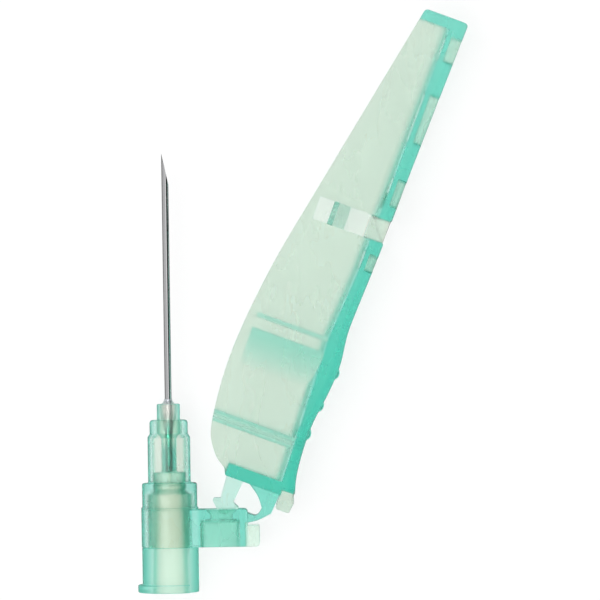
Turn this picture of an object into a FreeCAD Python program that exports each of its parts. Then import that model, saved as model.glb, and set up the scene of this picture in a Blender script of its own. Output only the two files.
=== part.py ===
import FreeCAD, Part
import math
import os

# Safety hypodermic needle with a hinged sharps shield, lying on its side. Millimetres.
# The origin is the middle of the hub's mouth. +Y runs along the needle to its point,
# +X points to the side that carries the shield, and +Z points up from the surface it lies on.

V = FreeCAD.Vector
LENGTH_AXIS = V(0, 1, 0)
UP = V(0, 0, 1)

# Steel needle tube
NEEDLE_DIAMETER = 0.82
NEEDLE_BORE = 0.51
NEEDLE_POINT_Y = 52.3
BEVEL_ANGLE = 12.0
LANCET_LENGTH = 1.5
LANCET_TURN = 35.0

# Hub: conical socket, mouth rim, barrel, seat for the collar, plug, column and glue cup
SOCKET_MOUTH_DIAMETER = 4.30
SOCKET_TAPER = 0.06
SOCKET_DEPTH = 13.0
SOCKET_END_ROUNDING = 0.7
RIM_RADIUS = 3.90
RIM_HEIGHT = 0.95
RIM_FLAT_X = 2.30
RIM_ROUNDING = 0.2
BARREL_RADIUS = 3.36
SEAT_RADIUS = 2.62
SEAT_TOP_Y = 12.3
PLUG_HEIGHT = 1.25
COLUMN_RADIUS = 0.90
COLUMN_ROOT_ROUNDING = 0.3
CUP_RADIUS = 1.37
CUP_BOTTOM_Y = 18.9
CUP_TOP_Y = 22.4
WELL_RADIUS = 0.98
NEEDLE_HOLE_CLEARANCE = 0.03
FLOW_HOLE_RADIUS = 0.25
SNAP_BEAD_Y = 9.9
SNAP_BEAD_HEIGHT = 0.16
GLUE_CONE_HEIGHT = 0.55
GLUE_FEATHER = 0.06

# Collar: sleeve over the hub, thicker ring, nose tube, and the arm that carries the shield
COLLAR_BOTTOM_Y = 5.35
COLLAR_RADIUS = 3.40
COLLAR_FIT = 0.04
RING_RADIUS = 3.27
RING_BOTTOM_Y = 10.1
RING_TOP_Y = 13.0
NOSE_RADIUS = 2.53
NOSE_ROOT_ROUNDING = 0.25
NOSE_STEP_Y = 18.45
NOSE_STEP_LENGTH = 0.4
NOSE_TOP_RADIUS = 2.27
NOSE_TOP_Y = 20.5
NOSE_WALL = 0.52
NOSE_LIP_ROUNDING = 0.4
CUP_CLEARANCE = 0.16
ARM_WIDTH = 5.0
ARM_PLATE = 0.8
ARM_TOP_Y = 9.8
ARM_SLAB = 1.2
ARM_EDGE_ROUNDING = 0.4
ARM_ROOT_X = 4.0
POCKET_ROUNDING = 0.3
CROSS_WALL_X = 8.1
CROSS_WALL = 0.8
SLAB_END_X = 9.25
EAR_END_X = 10.65
EAR_TOP_Y = 7.85
EAR_WEB = 0.35
EAR_CHAMFER = 0.4
PIN_HOLE_X = 6.15
PIN_HOLE_LENGTH = 2.6
PIN_HOLE_CLEARANCE = 0.25
PIN_HOLE_LEAD_IN = 0.75
PIN_HOLE_LEAD_DEPTH = 0.6

# Living hinge: a thin strap, bent round the axis that the shield turns on
HINGE_X = 10.42
HINGE_Y = 8.78
STRAP_THICKNESS = 0.55
STRAP_WIDTH = 4.4
STRAP_ROOT_Y = (8.2, 9.3)
STRAP_WAIST_SHIFT = 0.1

# Shield: a trough, in its own axes from the hinge axis. u runs along it and v across it,
# with v negative on the open side, where the needle goes in.
SHIELD_LEAN = 20.8
SHIELD_LENGTH = 63.6
SHIELD_WALL = 0.6
TOP_WALL = 1.3
BASE_PLATE_U = 3.5
BASE_PLATE = 1.5
BASE_PLATE_END_V = -5.3
BASE_INNER_WIDTH = 6.8
TOP_INNER_WIDTH = 3.6
INNER_CORNER = 2.4
BACK_EDGE_ROUNDING = 1.1
INNER_EDGE_ROUNDING = 1.4
TOP_CORNER_ROUNDING = 0.45

# Open edge of the side walls, each point (u, v)
MOUTH_EDGE_TOP_V = -1.8
BELLY_START = (34.6, -7.5)
BELLY_MIDDLE = (25.3, -9.0)
BELLY_DEEPEST = (16.4, -9.6)
BELLY_LOWER = (11.6, -9.3)
LIP_CORNER_START = (7.6, -8.6)
LIP_CORNER_MIDDLE = (5.3, -7.1)
LIP_CORNER_END = (4.3, -5.7)

# Back of the shield, each point (u, v): a swell, then a shallow hollow for the finger
BACK_TOP_V = 3.62
BACK_UPPER_LINE = ((44.0, 3.12), (34.0, 2.97), (28.0, 2.74), (24.2, 2.66))
BACK_LOWER_LINE = ((20.3, 3.08), (17.0, 2.92), (13.0, 2.4), (9.8, 2.36), (6.2, 2.7))
HEEL_CORNER = (3.3, 3.5)
HEEL_BOTTOM = (1.8, 3.3)
HEEL_INNER_V = 1.6

# Thickness of the back wall, and the stations along it where that changes
BACK_WALL_TOP = 2.3
BACK_WALL_MIDDLE_U = 31.0
BACK_WALL_MIDDLE = 1.6
BACK_WALL_LOWER_U = 23.0
BACK_WALL_LOWER = 2.0
BACK_WALL_FLOOR = 1.55
BACK_WALL_END_U = 3.3

# Finger ridges across the back
RIDGE_STATIONS = (19.2, 15.0, 11.3)
RIDGE_HEIGHT = 0.3
RIDGE_RADIUS = 0.9
RIDGE_END_MARGIN = 1.3

# Pockets that lighten the back wall: one below the window, and three above it that share
# the length which their solid rungs leave
WINDOW_RUNG = 1.6
LOWER_POCKET_LENGTH = 2.2
UPPER_POCKET_SHARES = (3.5, 6.3, 3.3)
UPPER_RUNGS = (4.5, 4.0, 2.0)
POCKET_FLOOR = 0.45
POCKET_SIDE_WALL = 1.05

# Window with the needle catch: a slanting leaf that the needle snaps behind
WINDOW_U = 35.6
WINDOW_LENGTH = 2.8
WINDOW_EDGE_MARGIN = 0.75
CATCH_RAMP_V = -4.1
CATCH_FACE_V = -2.03
WINDOW_BACK_V = 0.5
CATCH_REACH = 0.5
CATCH_TIP = 0.3
CATCH_LEAF = 0.62

# Guides inside the walls, which lead the needle to the middle
GUIDE_WEDGE = (17.3, 21.1)
GUIDE_WEDGE_START = 0.3
GUIDE_WEDGE_HEIGHT = 1.0
GUIDE_WEDGE_SLOPE = 3.2
GUIDE_RIB = (22.4, 22.95)
GUIDE_RIB_HEIGHT = 0.85
GUIDE_EDGE_MARGIN = 1.3

# Raised band round the lower side walls, outside and inside
BAND_U = 9.1
BAND_LENGTH = 1.25
BAND_HEIGHT = 0.28
BAND_INNER_HEIGHT = 0.45

# Block between the base plate and the strap, each point (u, v): its hollow front,
# then the two corners of its end, where the strap starts
ROOT_FRONT = ((3.5, -2.3), (2.4, -0.8))
ROOT_END = ((1.2, 0.14), (1.0, 1.36))

# Latch pin with a mushroom head, below the base plate
PIN_V = -4.1
PIN_ROOT_LENGTH = 2.1
PIN_NECK_LENGTH = 1.6
PIN_THICKNESS = 1.6
PIN_SHOULDER_U = 0.7
PIN_HEAD_LENGTH = 3.2
PIN_HEAD_TOP_U = 0.38
PIN_HEAD_EDGE = 0.3
PIN_HEAD_ROUNDING = 0.24
PIN_TIP_U = -1.05
PIN_TIP_LENGTH = 0.8

HINGE = V(HINGE_X, HINGE_Y, 0)
# A distance past every face, for cutting tools, and the same out of the open side
BEYOND = 14.0
OPEN_SIDE_V = -BEYOND
# How near an edge lies to the place where it is looked for
NEAR = 0.02


def face_from(edges):
    """A flat face inside a closed outline of edges, in any order along it."""
    return Part.Face(Part.Wire(Part.__sortEdges__(edges)))


def line(start, end):
    """A straight edge between two points of the drawing plane, each given as (x, y)."""
    return Part.LineSegment(V(start[0], start[1], 0), V(end[0], end[1], 0)).toShape()


def arc(start, middle, end):
    """A round edge through three points of the drawing plane."""
    return Part.Arc(V(*start, 0), V(*middle, 0), V(*end, 0)).toShape()


def outline(points):
    """A flat face inside straight edges between points of the drawing plane."""
    corners = [V(x, y, 0) for x, y in points]
    return Part.Face(Part.makePolygon(corners + corners[:1]))


def turned(points):
    """A body of revolution round the needle's axis from points given as (radius, height)."""
    return outline(points).revolve(V(0, 0, 0), LENGTH_AXIS, 360)


def slab(face, low, high):
    """A face of the drawing plane made into a solid between two heights."""
    raised = face.copy()
    raised.translate(V(0, 0, low))
    return raised.extrude(V(0, 0, high - low))


def box(x_range, y_range, z_range):
    """A box between three pairs of coordinates."""
    corner = V(x_range[0], y_range[0], z_range[0])
    return Part.makeBox(
        x_range[1] - x_range[0],
        y_range[1] - y_range[0],
        z_range[1] - z_range[0],
        corner,
    )


def both_sides(solid):
    """A solid together with its mirror image across the plane that halves the part."""
    return solid.fuse(solid.mirror(V(0, 0, 0), UP))


def rounded(solid, radius, chosen):
    """A solid with a radius on each edge that the test picks."""
    edges = [edge for edge in solid.Edges if chosen(edge)]
    return solid.makeFillet(radius, edges)


def middle_of(edge):
    """The point halfway along an edge."""
    return edge.valueAt((edge.FirstParameter + edge.LastParameter) / 2)


def single(shape):
    """The one solid that a joined shape holds, with faces on one surface merged."""
    merged = shape.removeSplitter()
    if len(merged.Solids) != 1:
        raise ValueError("a piece came apart into %d solids" % len(merged.Solids))
    return merged.Solids[0]


def socket_radius(depth):
    """Radius of the conical socket at a depth from the mouth."""
    return (SOCKET_MOUTH_DIAMETER - SOCKET_TAPER * depth) / 2


def make_hub():
    """The moulded hub: socket below, then the plug, the column and the glue cup."""
    needle_hole = NEEDLE_DIAMETER / 2 + NEEDLE_HOLE_CLEARANCE
    plug_radius = NOSE_RADIUS - NOSE_WALL - COLLAR_FIT
    plug_top = SOCKET_DEPTH + PLUG_HEIGHT
    seat_cone = SEAT_RADIUS - plug_radius
    body = turned(
        [
            (0, 0),
            (BARREL_RADIUS, 0),
            (BARREL_RADIUS, COLLAR_BOTTOM_Y),
            (SEAT_RADIUS, COLLAR_BOTTOM_Y),
            (SEAT_RADIUS, SEAT_TOP_Y - seat_cone),
            (plug_radius, SEAT_TOP_Y),
            (plug_radius, plug_top),
            (COLUMN_RADIUS, plug_top),
            (COLUMN_RADIUS, CUP_BOTTOM_Y - (CUP_RADIUS - COLUMN_RADIUS)),
            (CUP_RADIUS, CUP_BOTTOM_Y),
            (CUP_RADIUS, CUP_TOP_Y),
            (0, CUP_TOP_Y),
        ]
    )
    body = rounded(
        body,
        COLUMN_ROOT_ROUNDING,
        lambda edge: abs(middle_of(edge).y - plug_top) < NEAR
        and abs(edge.BoundBox.XMax - COLUMN_RADIUS) < NEAR,
    )
    rim = turned([(0, 0), (RIM_RADIUS, 0), (RIM_RADIUS, RIM_HEIGHT), (0, RIM_HEIGHT)])
    rim = rounded(rim, RIM_ROUNDING, lambda edge: edge.BoundBox.XMax > RIM_RADIUS - NEAR)
    rim = rim.cut(box((RIM_FLAT_X, BEYOND), (-BEYOND, BEYOND), (-BEYOND, BEYOND)))
    bead = Part.makeTorus(
        SEAT_RADIUS - SNAP_BEAD_HEIGHT, 2 * SNAP_BEAD_HEIGHT, V(0, SNAP_BEAD_Y, 0), LENGTH_AXIS
    )
    end_radius = socket_radius(SOCKET_DEPTH)
    socket = turned(
        [(0, 0), (socket_radius(0), 0), (end_radius, SOCKET_DEPTH), (0, SOCKET_DEPTH)]
    )
    socket = rounded(
        socket,
        SOCKET_END_ROUNDING,
        lambda edge: edge.BoundBox.YMin > SOCKET_DEPTH - NEAR
        and edge.BoundBox.XMax > end_radius - NEAR,
    )
    flow_hole = Part.makeCylinder(
        FLOW_HOLE_RADIUS, CUP_TOP_Y, V(0, 0, 0), LENGTH_AXIS
    )
    needle_bore = Part.makeCylinder(
        needle_hole, CUP_TOP_Y - plug_top, V(0, plug_top, 0), LENGTH_AXIS
    )
    solid = body.fuse([rim, bead]).cut([socket, flow_hole, needle_bore, glue_well()])
    return single(solid)


def glue_well():
    """The funnel in the cup that holds the adhesive."""
    needle_hole = NEEDLE_DIAMETER / 2 + NEEDLE_HOLE_CLEARANCE
    return turned(
        [
            (0, CUP_BOTTOM_Y),
            (needle_hole, CUP_BOTTOM_Y),
            (WELL_RADIUS, CUP_TOP_Y - WELL_RADIUS),
            (WELL_RADIUS, CUP_TOP_Y),
            (0, CUP_TOP_Y),
        ]
    )


def make_adhesive():
    """The adhesive that fills the cup and rises up the needle as a small cone."""
    needle_radius = NEEDLE_DIAMETER / 2
    cone = turned(
        [
            (0, CUP_TOP_Y),
            (WELL_RADIUS, CUP_TOP_Y),
            (needle_radius + GLUE_FEATHER, CUP_TOP_Y + GLUE_CONE_HEIGHT),
            (0, CUP_TOP_Y + GLUE_CONE_HEIGHT),
        ]
    )
    needle_space = Part.makeCylinder(
        needle_radius, NEEDLE_POINT_Y, V(0, 0, 0), LENGTH_AXIS
    )
    return single(glue_well().fuse(cone).cut(needle_space))


def make_cannula():
    """The ground steel tube: one long bevel that faces the shield, and two lancet facets."""
    foot = SOCKET_DEPTH + PLUG_HEIGHT
    length = NEEDLE_POINT_Y - foot
    outer = Part.makeCylinder(NEEDLE_DIAMETER / 2, length, V(0, foot, 0), LENGTH_AXIS)
    bore = Part.makeCylinder(NEEDLE_BORE / 2, length, V(0, foot, 0), LENGTH_AXIS)
    point = V(-NEEDLE_DIAMETER / 2, NEEDLE_POINT_Y, 0)
    solid = outer.cut(bore).cut(bevel_block(point, BEVEL_ANGLE))
    lancet_start = V(
        -NEEDLE_DIAMETER / 2 + LANCET_LENGTH * math.tan(math.radians(BEVEL_ANGLE)),
        NEEDLE_POINT_Y - LANCET_LENGTH,
        0,
    )
    for turn in (-LANCET_TURN, LANCET_TURN):
        facet = bevel_block(lancet_start, 2 * BEVEL_ANGLE)
        facet.rotate(lancet_start, LENGTH_AXIS, turn)
        solid = solid.cut(facet)
    return single(solid)


def bevel_block(point, angle):
    """A block with one face through a point, leaning from the needle's axis by an angle."""
    block = box((0, BEYOND), (-BEYOND, BEYOND), (-BEYOND, BEYOND))
    block.rotate(V(0, 0, 0), UP, angle)
    block.translate(point)
    return block


def make_collar():
    """The moulded collar: sleeve, ring and nose tube in one, with the hinge arm."""
    nose_bore = NOSE_RADIUS - NOSE_WALL
    lip_bore = CUP_RADIUS + CUP_CLEARANCE
    seat_bore = SEAT_RADIUS + COLLAR_FIT
    seat_cone = seat_bore - nose_bore
    step_top = NOSE_STEP_Y + NOSE_STEP_LENGTH
    outside = turned(
        [
            (0, COLLAR_BOTTOM_Y),
            (COLLAR_RADIUS, COLLAR_BOTTOM_Y),
            (COLLAR_RADIUS, RING_BOTTOM_Y),
            (RING_RADIUS, RING_BOTTOM_Y),
            (RING_RADIUS, RING_TOP_Y),
            (NOSE_RADIUS, RING_TOP_Y),
            (NOSE_RADIUS, NOSE_STEP_Y),
            (NOSE_TOP_RADIUS, step_top),
            (NOSE_TOP_RADIUS, NOSE_TOP_Y),
            (0, NOSE_TOP_Y),
        ]
    )
    outside = rounded(
        outside,
        NOSE_LIP_ROUNDING,
        lambda edge: edge.BoundBox.YMin > NOSE_TOP_Y - NEAR
        and edge.BoundBox.XMax > NOSE_TOP_RADIUS - NEAR,
    )
    outside = rounded(
        outside,
        NOSE_ROOT_ROUNDING,
        lambda edge: abs(middle_of(edge).y - RING_TOP_Y) < NEAR
        and abs(edge.BoundBox.XMax - NOSE_RADIUS) < NEAR,
    )
    inside = turned(
        [
            (0, COLLAR_BOTTOM_Y),
            (seat_bore, COLLAR_BOTTOM_Y),
            (seat_bore, SEAT_TOP_Y - seat_cone),
            (nose_bore, SEAT_TOP_Y),
            (nose_bore, step_top - (nose_bore - lip_bore)),
            (lip_bore, step_top),
            (lip_bore, NOSE_TOP_Y),
            (0, NOSE_TOP_Y),
        ]
    )
    groove = Part.makeTorus(
        SEAT_RADIUS - SNAP_BEAD_HEIGHT,
        2 * SNAP_BEAD_HEIGHT + COLLAR_FIT,
        V(0, SNAP_BEAD_Y, 0),
        LENGTH_AXIS,
    )
    solid = outside.fuse(make_arm()).cut([inside, groove])
    return single(solid)


def make_arm():
    """The side arm: a slab on two plates, a cross wall, and ears below the strap."""
    half = ARM_WIDTH / 2
    slab_bottom = ARM_TOP_Y - ARM_SLAB
    inner = half - ARM_PLATE
    side = (-half, half)
    profile = outline(
        [
            (0, COLLAR_BOTTOM_Y),
            (EAR_END_X - EAR_CHAMFER, COLLAR_BOTTOM_Y),
            (EAR_END_X, COLLAR_BOTTOM_Y + EAR_CHAMFER),
            (EAR_END_X, EAR_TOP_Y),
            (SLAB_END_X, EAR_TOP_Y),
            (SLAB_END_X, ARM_TOP_Y),
            (0, ARM_TOP_Y),
        ]
    )
    arm = slab(profile, *side)
    arm = rounded(
        arm,
        ARM_EDGE_ROUNDING,
        lambda edge: abs(middle_of(edge).x - SLAB_END_X) < NEAR
        and abs(middle_of(edge).y - ARM_TOP_Y) < NEAR,
    )
    pocket = box(
        (ARM_ROOT_X, CROSS_WALL_X), (-BEYOND, slab_bottom), (-inner, inner)
    )
    pocket = rounded(
        pocket,
        POCKET_ROUNDING,
        lambda edge: edge.BoundBox.YMin > slab_bottom - NEAR,
    )
    ear_gap = box(
        (CROSS_WALL_X + CROSS_WALL, BEYOND),
        (-BEYOND, slab_bottom - EAR_WEB),
        (-inner, inner),
    )
    hole_half = PIN_THICKNESS / 2 + PIN_HOLE_CLEARANCE
    low_x, high_x = PIN_HOLE_X - PIN_HOLE_LENGTH / 2, PIN_HOLE_X + PIN_HOLE_LENGTH / 2
    hole = outline(
        [
            (low_x, 0),
            (high_x, 0),
            (high_x, ARM_TOP_Y - PIN_HOLE_LEAD_DEPTH),
            (high_x + PIN_HOLE_LEAD_IN, ARM_TOP_Y),
            (low_x - PIN_HOLE_LEAD_IN, ARM_TOP_Y),
            (low_x, ARM_TOP_Y - PIN_HOLE_LEAD_DEPTH),
        ]
    )
    return arm.cut([pocket, ear_gap, slab(hole, -hole_half, hole_half)])


def placed(solid):
    """A solid drawn in the shield's own axes, moved to the hinge and leaned over."""
    moved = solid.copy()
    moved.rotate(V(0, 0, 0), UP, -SHIELD_LEAN)
    moved.translate(HINGE)
    return moved


def from_shield(u, v):
    """A point of the shield's own axes as (x, y) of the part."""
    lean = math.radians(SHIELD_LEAN)
    return (
        HINGE_X + v * math.cos(lean) + u * math.sin(lean),
        HINGE_Y - v * math.sin(lean) + u * math.cos(lean),
    )


def swapped(points):
    """Points given as (u, v), turned into (x, y) of the shield's drawing plane."""
    return [(v, u) for u, v in points]


def spline(points):
    """A smooth edge through points of the drawing plane."""
    curve = Part.BSplineCurve()
    curve.interpolate([V(x, y, 0) for x, y in points])
    return curve.toShape()


def back_edge():
    """The line of the back, from its top corner down to the heel."""
    top = (SHIELD_LENGTH, BACK_TOP_V)
    return spline(swapped([top, *BACK_UPPER_LINE, *BACK_LOWER_LINE, HEEL_CORNER]))


def back_v(u):
    """Where the back's outer line lies across the shield at a station along it."""
    return crossing_x(back_edge(), u)


def crossing_x(edges, u):
    """Where edges of the drawing plane cross the level line at a station along the shield."""
    level = Part.makeLine(V(OPEN_SIDE_V, u, 0), V(-OPEN_SIDE_V, u, 0))
    nearest_pairs = edges.distToShape(level)[1]
    return nearest_pairs[0][0].x


def mouth_edges():
    """The edges of the side walls round the open side, from the top to the lower corner."""
    straight = line((MOUTH_EDGE_TOP_V, SHIELD_LENGTH), swapped([BELLY_START])[0])
    belly = arc(*swapped([BELLY_START, BELLY_MIDDLE, BELLY_DEEPEST]))
    lower = arc(*swapped([BELLY_DEEPEST, BELLY_LOWER, LIP_CORNER_START]))
    corner = arc(*swapped([LIP_CORNER_START, LIP_CORNER_MIDDLE, LIP_CORNER_END]))
    return [straight, belly, lower, corner]


def side_outline():
    """The whole side view of the shield as one face."""
    lower = swapped(
        [
            LIP_CORNER_END,
            (BASE_PLATE_U, BASE_PLATE_END_V),
            (BASE_PLATE_U, HEEL_INNER_V),
            (HEEL_BOTTOM[0], HEEL_INNER_V),
            HEEL_BOTTOM,
            HEEL_CORNER,
        ]
    )
    edges = mouth_edges()
    edges += [line(a, b) for a, b in zip(lower, lower[1:])]
    edges.append(back_edge())
    edges.append(line((MOUTH_EDGE_TOP_V, SHIELD_LENGTH), (BACK_TOP_V, SHIELD_LENGTH)))
    return face_from(edges)


def inner_half_width(u):
    """Half the trough's width between its walls at a station along it."""
    top_inside = SHIELD_LENGTH - TOP_WALL
    share = (u - BASE_PLATE_U) / (top_inside - BASE_PLATE_U)
    return (BASE_INNER_WIDTH + share * (TOP_INNER_WIDTH - BASE_INNER_WIDTH)) / 2


def tapered(grow):
    """A wedge that the side walls' faces follow, wider than the inner width by grow a side."""
    low, high = -BEYOND, SHIELD_LENGTH + BEYOND
    low_half = inner_half_width(low) + grow
    high_half = inner_half_width(high) + grow
    corners = [(-low_half, low), (low_half, low), (high_half, high), (-high_half, high)]
    face = Part.Face(
        Part.makePolygon([V(OPEN_SIDE_V, u, z) for z, u in corners + corners[:1]])
    )
    return face.extrude(V(-2 * OPEN_SIDE_V, 0, 0))


def inner_back_points():
    """The inner line of the back wall, from the top wall to the base plate, as (x, y)."""
    stations = [
        (SHIELD_LENGTH - TOP_WALL, BACK_WALL_TOP),
        (BACK_WALL_MIDDLE_U, BACK_WALL_MIDDLE),
        (BACK_WALL_LOWER_U, BACK_WALL_LOWER),
        (BASE_PLATE_U + BASE_PLATE, BACK_WALL_FLOOR),
    ]
    return [(back_v(u) - thickness, u) for u, thickness in stations]


def trough_space():
    """The space inside the trough, open on the needle's side, with rounded corners."""
    inner = inner_back_points()
    face = outline(
        inner
        + [
            (BASE_PLATE_END_V, inner[-1][1]),
            (BASE_PLATE_END_V, -BEYOND),
            (OPEN_SIDE_V, -BEYOND),
            (OPEN_SIDE_V, inner[0][1]),
        ]
    )
    depth = BASE_INNER_WIDTH
    space = slab(face, -depth, depth).common(tapered(0))
    corner = V(*inner[-1], 0)
    space = rounded(
        space,
        INNER_CORNER,
        lambda edge: (middle_of(edge) - corner).Length < NEAR,
    )
    return rounded(
        space,
        INNER_EDGE_ROUNDING,
        lambda edge: abs(middle_of(edge).z) > NEAR
        and middle_of(edge).x > BASE_PLATE_END_V + NEAR
        and abs(abs(middle_of(edge).z) - inner_half_width(middle_of(edge).y)) < NEAR,
    )


def heel_space():
    """The gap between the two heel plates, below the end of the back wall."""
    half = BASE_INNER_WIDTH / 2
    return box((HEEL_INNER_V, BEYOND), (-BEYOND, BACK_WALL_END_U), (-half, half))


def ridges():
    """Low round ridges across the back, where a finger pushes."""
    made = []
    for u in RIDGE_STATIONS:
        half = inner_half_width(u) + SHIELD_WALL - RIDGE_END_MARGIN
        centre_v = back_v(u) + RIDGE_HEIGHT - RIDGE_RADIUS
        bar = Part.makeCylinder(RIDGE_RADIUS, 2 * half, V(centre_v, u, -half), UP)
        made.append(bar)
    return made


def pocket_spans():
    """Where each pocket of the back wall starts and ends along the shield."""
    first_end = WINDOW_U - WINDOW_RUNG
    spans = [(first_end - LOWER_POCKET_LENGTH, first_end)]
    start = WINDOW_U + WINDOW_LENGTH + WINDOW_RUNG
    left = SHIELD_LENGTH - start - sum(UPPER_RUNGS)
    for share, rung in zip(UPPER_POCKET_SHARES, UPPER_RUNGS):
        end = start + left * share / sum(UPPER_POCKET_SHARES)
        spans.append((start, end))
        start = end + rung
    return spans


def pockets():
    """The pockets that lighten the upper part of the back wall, from the outside."""
    inner = inner_back_points()
    bottom_v = max(inner[0][0], inner[1][0]) + POCKET_FLOOR
    made = []
    for low, high in pocket_spans():
        half = inner_half_width(high) + SHIELD_WALL - POCKET_SIDE_WALL
        made.append(box((bottom_v, BEYOND), (low, high), (-half, half)))
    return made


def guide(span, slope, start_height, height):
    """A guide on each wall: its height over the wall grows along the slope, then stays."""
    low, high = span
    half = inner_half_width(low)
    outer = half + SHIELD_WALL / 2
    far_v = back_v(low) - BACK_WALL_LOWER / 2
    near_v = mouth_v(low) + GUIDE_EDGE_MARGIN
    corners = [
        V(near_v, low, half - start_height),
        V(near_v, low + slope, half - height),
        V(near_v, high, half - height),
        V(near_v, high, outer),
        V(near_v, low, outer),
    ]
    face = Part.Face(Part.makePolygon(corners + corners[:1]))
    return both_sides(face.extrude(V(far_v - near_v, 0, 0)))


def mouth_v(u):
    """Where the open edge lies across the shield at a station along it."""
    return crossing_x(Part.Compound(mouth_edges()), u)


def band(side_face):
    """A raised band on the outside and the inside of both walls."""
    strip = outline(
        [
            (OPEN_SIDE_V, BAND_U),
            (-OPEN_SIDE_V, BAND_U),
            (-OPEN_SIDE_V, BAND_U + BAND_LENGTH),
            (OPEN_SIDE_V, BAND_U + BAND_LENGTH),
        ]
    )
    low = inner_half_width(BAND_U) - BAND_INNER_HEIGHT
    high = inner_half_width(BAND_U) + SHIELD_WALL + BAND_HEIGHT
    shape = slab(strip.common(side_face), low, high)
    back = back_v(BAND_U) - BACK_EDGE_ROUNDING
    keep = box((OPEN_SIDE_V, back), (-BEYOND, BEYOND), (0, BEYOND))
    return both_sides(shape.common(keep))


def catch_points():
    """The leaf of the catch across the shield, as (v, z): its slant, tip and outer side."""
    half = inner_half_width(WINDOW_U)
    tip_v = CATCH_FACE_V - CATCH_TIP
    rise = (half + CATCH_REACH) / (tip_v - CATCH_RAMP_V)
    through = CATCH_LEAF * math.hypot(1, rise)
    outer = half + SHIELD_WALL / 2
    root_v = CATCH_FACE_V - (outer + CATCH_REACH - through) / rise
    return [
        (CATCH_RAMP_V, half),
        (tip_v, -CATCH_REACH),
        (CATCH_FACE_V, -CATCH_REACH),
        (CATCH_FACE_V, through - CATCH_REACH),
        (root_v, outer),
        (CATCH_RAMP_V, outer),
    ]


def windows():
    """The cut-outs on both sides of the catch, and the gap in the back wall beside them."""
    low, high = WINDOW_U, WINDOW_U + WINDOW_LENGTH
    wall_inside = inner_half_width(high) - SHIELD_WALL / 2
    edge_v = mouth_v(high) + WINDOW_EDGE_MARGIN
    root_v = catch_points()[-2][0]
    front = box((edge_v, CATCH_RAMP_V), (low, high), (wall_inside, BEYOND))
    beside = box((root_v, WINDOW_BACK_V), (low, high), (wall_inside, BEYOND))
    half = inner_half_width(high)
    through = box((WINDOW_BACK_V, BEYOND), (low, high), (-half, half))
    return [front, beside, through]


def make_catch():
    """The leaf that the needle slides over and snaps behind, between the two windows."""
    corners = [V(v, WINDOW_U, z) for v, z in catch_points()]
    face = Part.Face(Part.makePolygon(corners + corners[:1]))
    return face.extrude(V(0, WINDOW_LENGTH, 0))


def root_block():
    """The block that narrows from the base plate down to the strap."""
    inside_plate = BASE_PLATE_U + BASE_PLATE / 2
    start, middle = swapped(ROOT_FRONT)
    near, far = swapped(ROOT_END)
    corners = [
        far,
        (HEEL_INNER_V, BASE_PLATE_U),
        (HEEL_INNER_V, inside_plate),
        (start[0], inside_plate),
        start,
    ]
    edges = [line(a, b) for a, b in zip(corners, corners[1:])]
    face = face_from(edges + [arc(start, middle, near), line(near, far)])
    return slab(face, -STRAP_WIDTH / 2, STRAP_WIDTH / 2)


def make_shield():
    """The shield: a tapered trough with its catch, guides, ridges, rungs and heel."""
    side_face = side_outline()
    depth = BASE_INNER_WIDTH
    outside = slab(side_face, -depth, depth).common(tapered(SHIELD_WALL))
    outside = rounded(
        outside,
        BACK_EDGE_ROUNDING,
        lambda edge: abs(middle_of(edge).z) > TOP_INNER_WIDTH / 2
        and edge.Length > SHIELD_LENGTH / 2
        and middle_of(edge).x > 0,
    )
    outside = rounded(
        outside,
        TOP_CORNER_ROUNDING,
        lambda edge: edge.BoundBox.YMin > SHIELD_LENGTH - NEAR,
    )
    solid = outside.fuse(ridges()).cut(trough_space()).cut(heel_space())
    solid = solid.cut(pockets() + windows())
    wedge = guide(GUIDE_WEDGE, GUIDE_WEDGE_SLOPE, GUIDE_WEDGE_START, GUIDE_WEDGE_HEIGHT)
    rib = guide(GUIDE_RIB, 0, GUIDE_RIB_HEIGHT, GUIDE_RIB_HEIGHT)
    solid = solid.fuse([root_block(), make_catch(), band(side_face), wedge, rib])
    return placed(single(solid))


def make_latch_pin():
    """The pin below the base plate, whose round head snaps through the hole in the arm."""
    root, neck = PIN_ROOT_LENGTH / 2, PIN_NECK_LENGTH / 2
    head, tip = PIN_HEAD_LENGTH / 2, PIN_TIP_LENGTH / 2
    right = [
        (root, BASE_PLATE_U),
        (neck, PIN_SHOULDER_U),
        (head, PIN_HEAD_TOP_U),
        (head, PIN_HEAD_TOP_U - PIN_HEAD_EDGE),
        (tip, PIN_TIP_U),
    ]
    left = [(-half, u) for half, u in reversed(right)]
    face = outline([(PIN_V + half, u) for half, u in right + left])
    solid = rounded(
        slab(face, -PIN_THICKNESS / 2, PIN_THICKNESS / 2),
        PIN_HEAD_ROUNDING,
        lambda edge: abs(middle_of(edge).z) < NEAR
        and middle_of(edge).y < PIN_HEAD_TOP_U + NEAR,
    )
    return placed(single(solid))


def make_strap():
    """The thin strap between the arm and the shield, bent round the hinge axis."""
    outer_start, inner_start = [(SLAB_END_X, y) for y in STRAP_ROOT_Y]
    inner_end, outer_end = [from_shield(u, v) for u, v in ROOT_END]
    half = STRAP_THICKNESS / 2
    waist_inner = (HINGE_X - STRAP_WAIST_SHIFT, HINGE_Y + half)
    waist_outer = (HINGE_X + STRAP_WAIST_SHIFT, HINGE_Y - half)
    face = face_from(
        [
            spline([inner_start, waist_inner, inner_end]),
            line(inner_end, outer_end),
            spline([outer_end, waist_outer, outer_start]),
            line(outer_start, inner_start),
        ]
    )
    return single(slab(face, -STRAP_WIDTH / 2, STRAP_WIDTH / 2))


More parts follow.
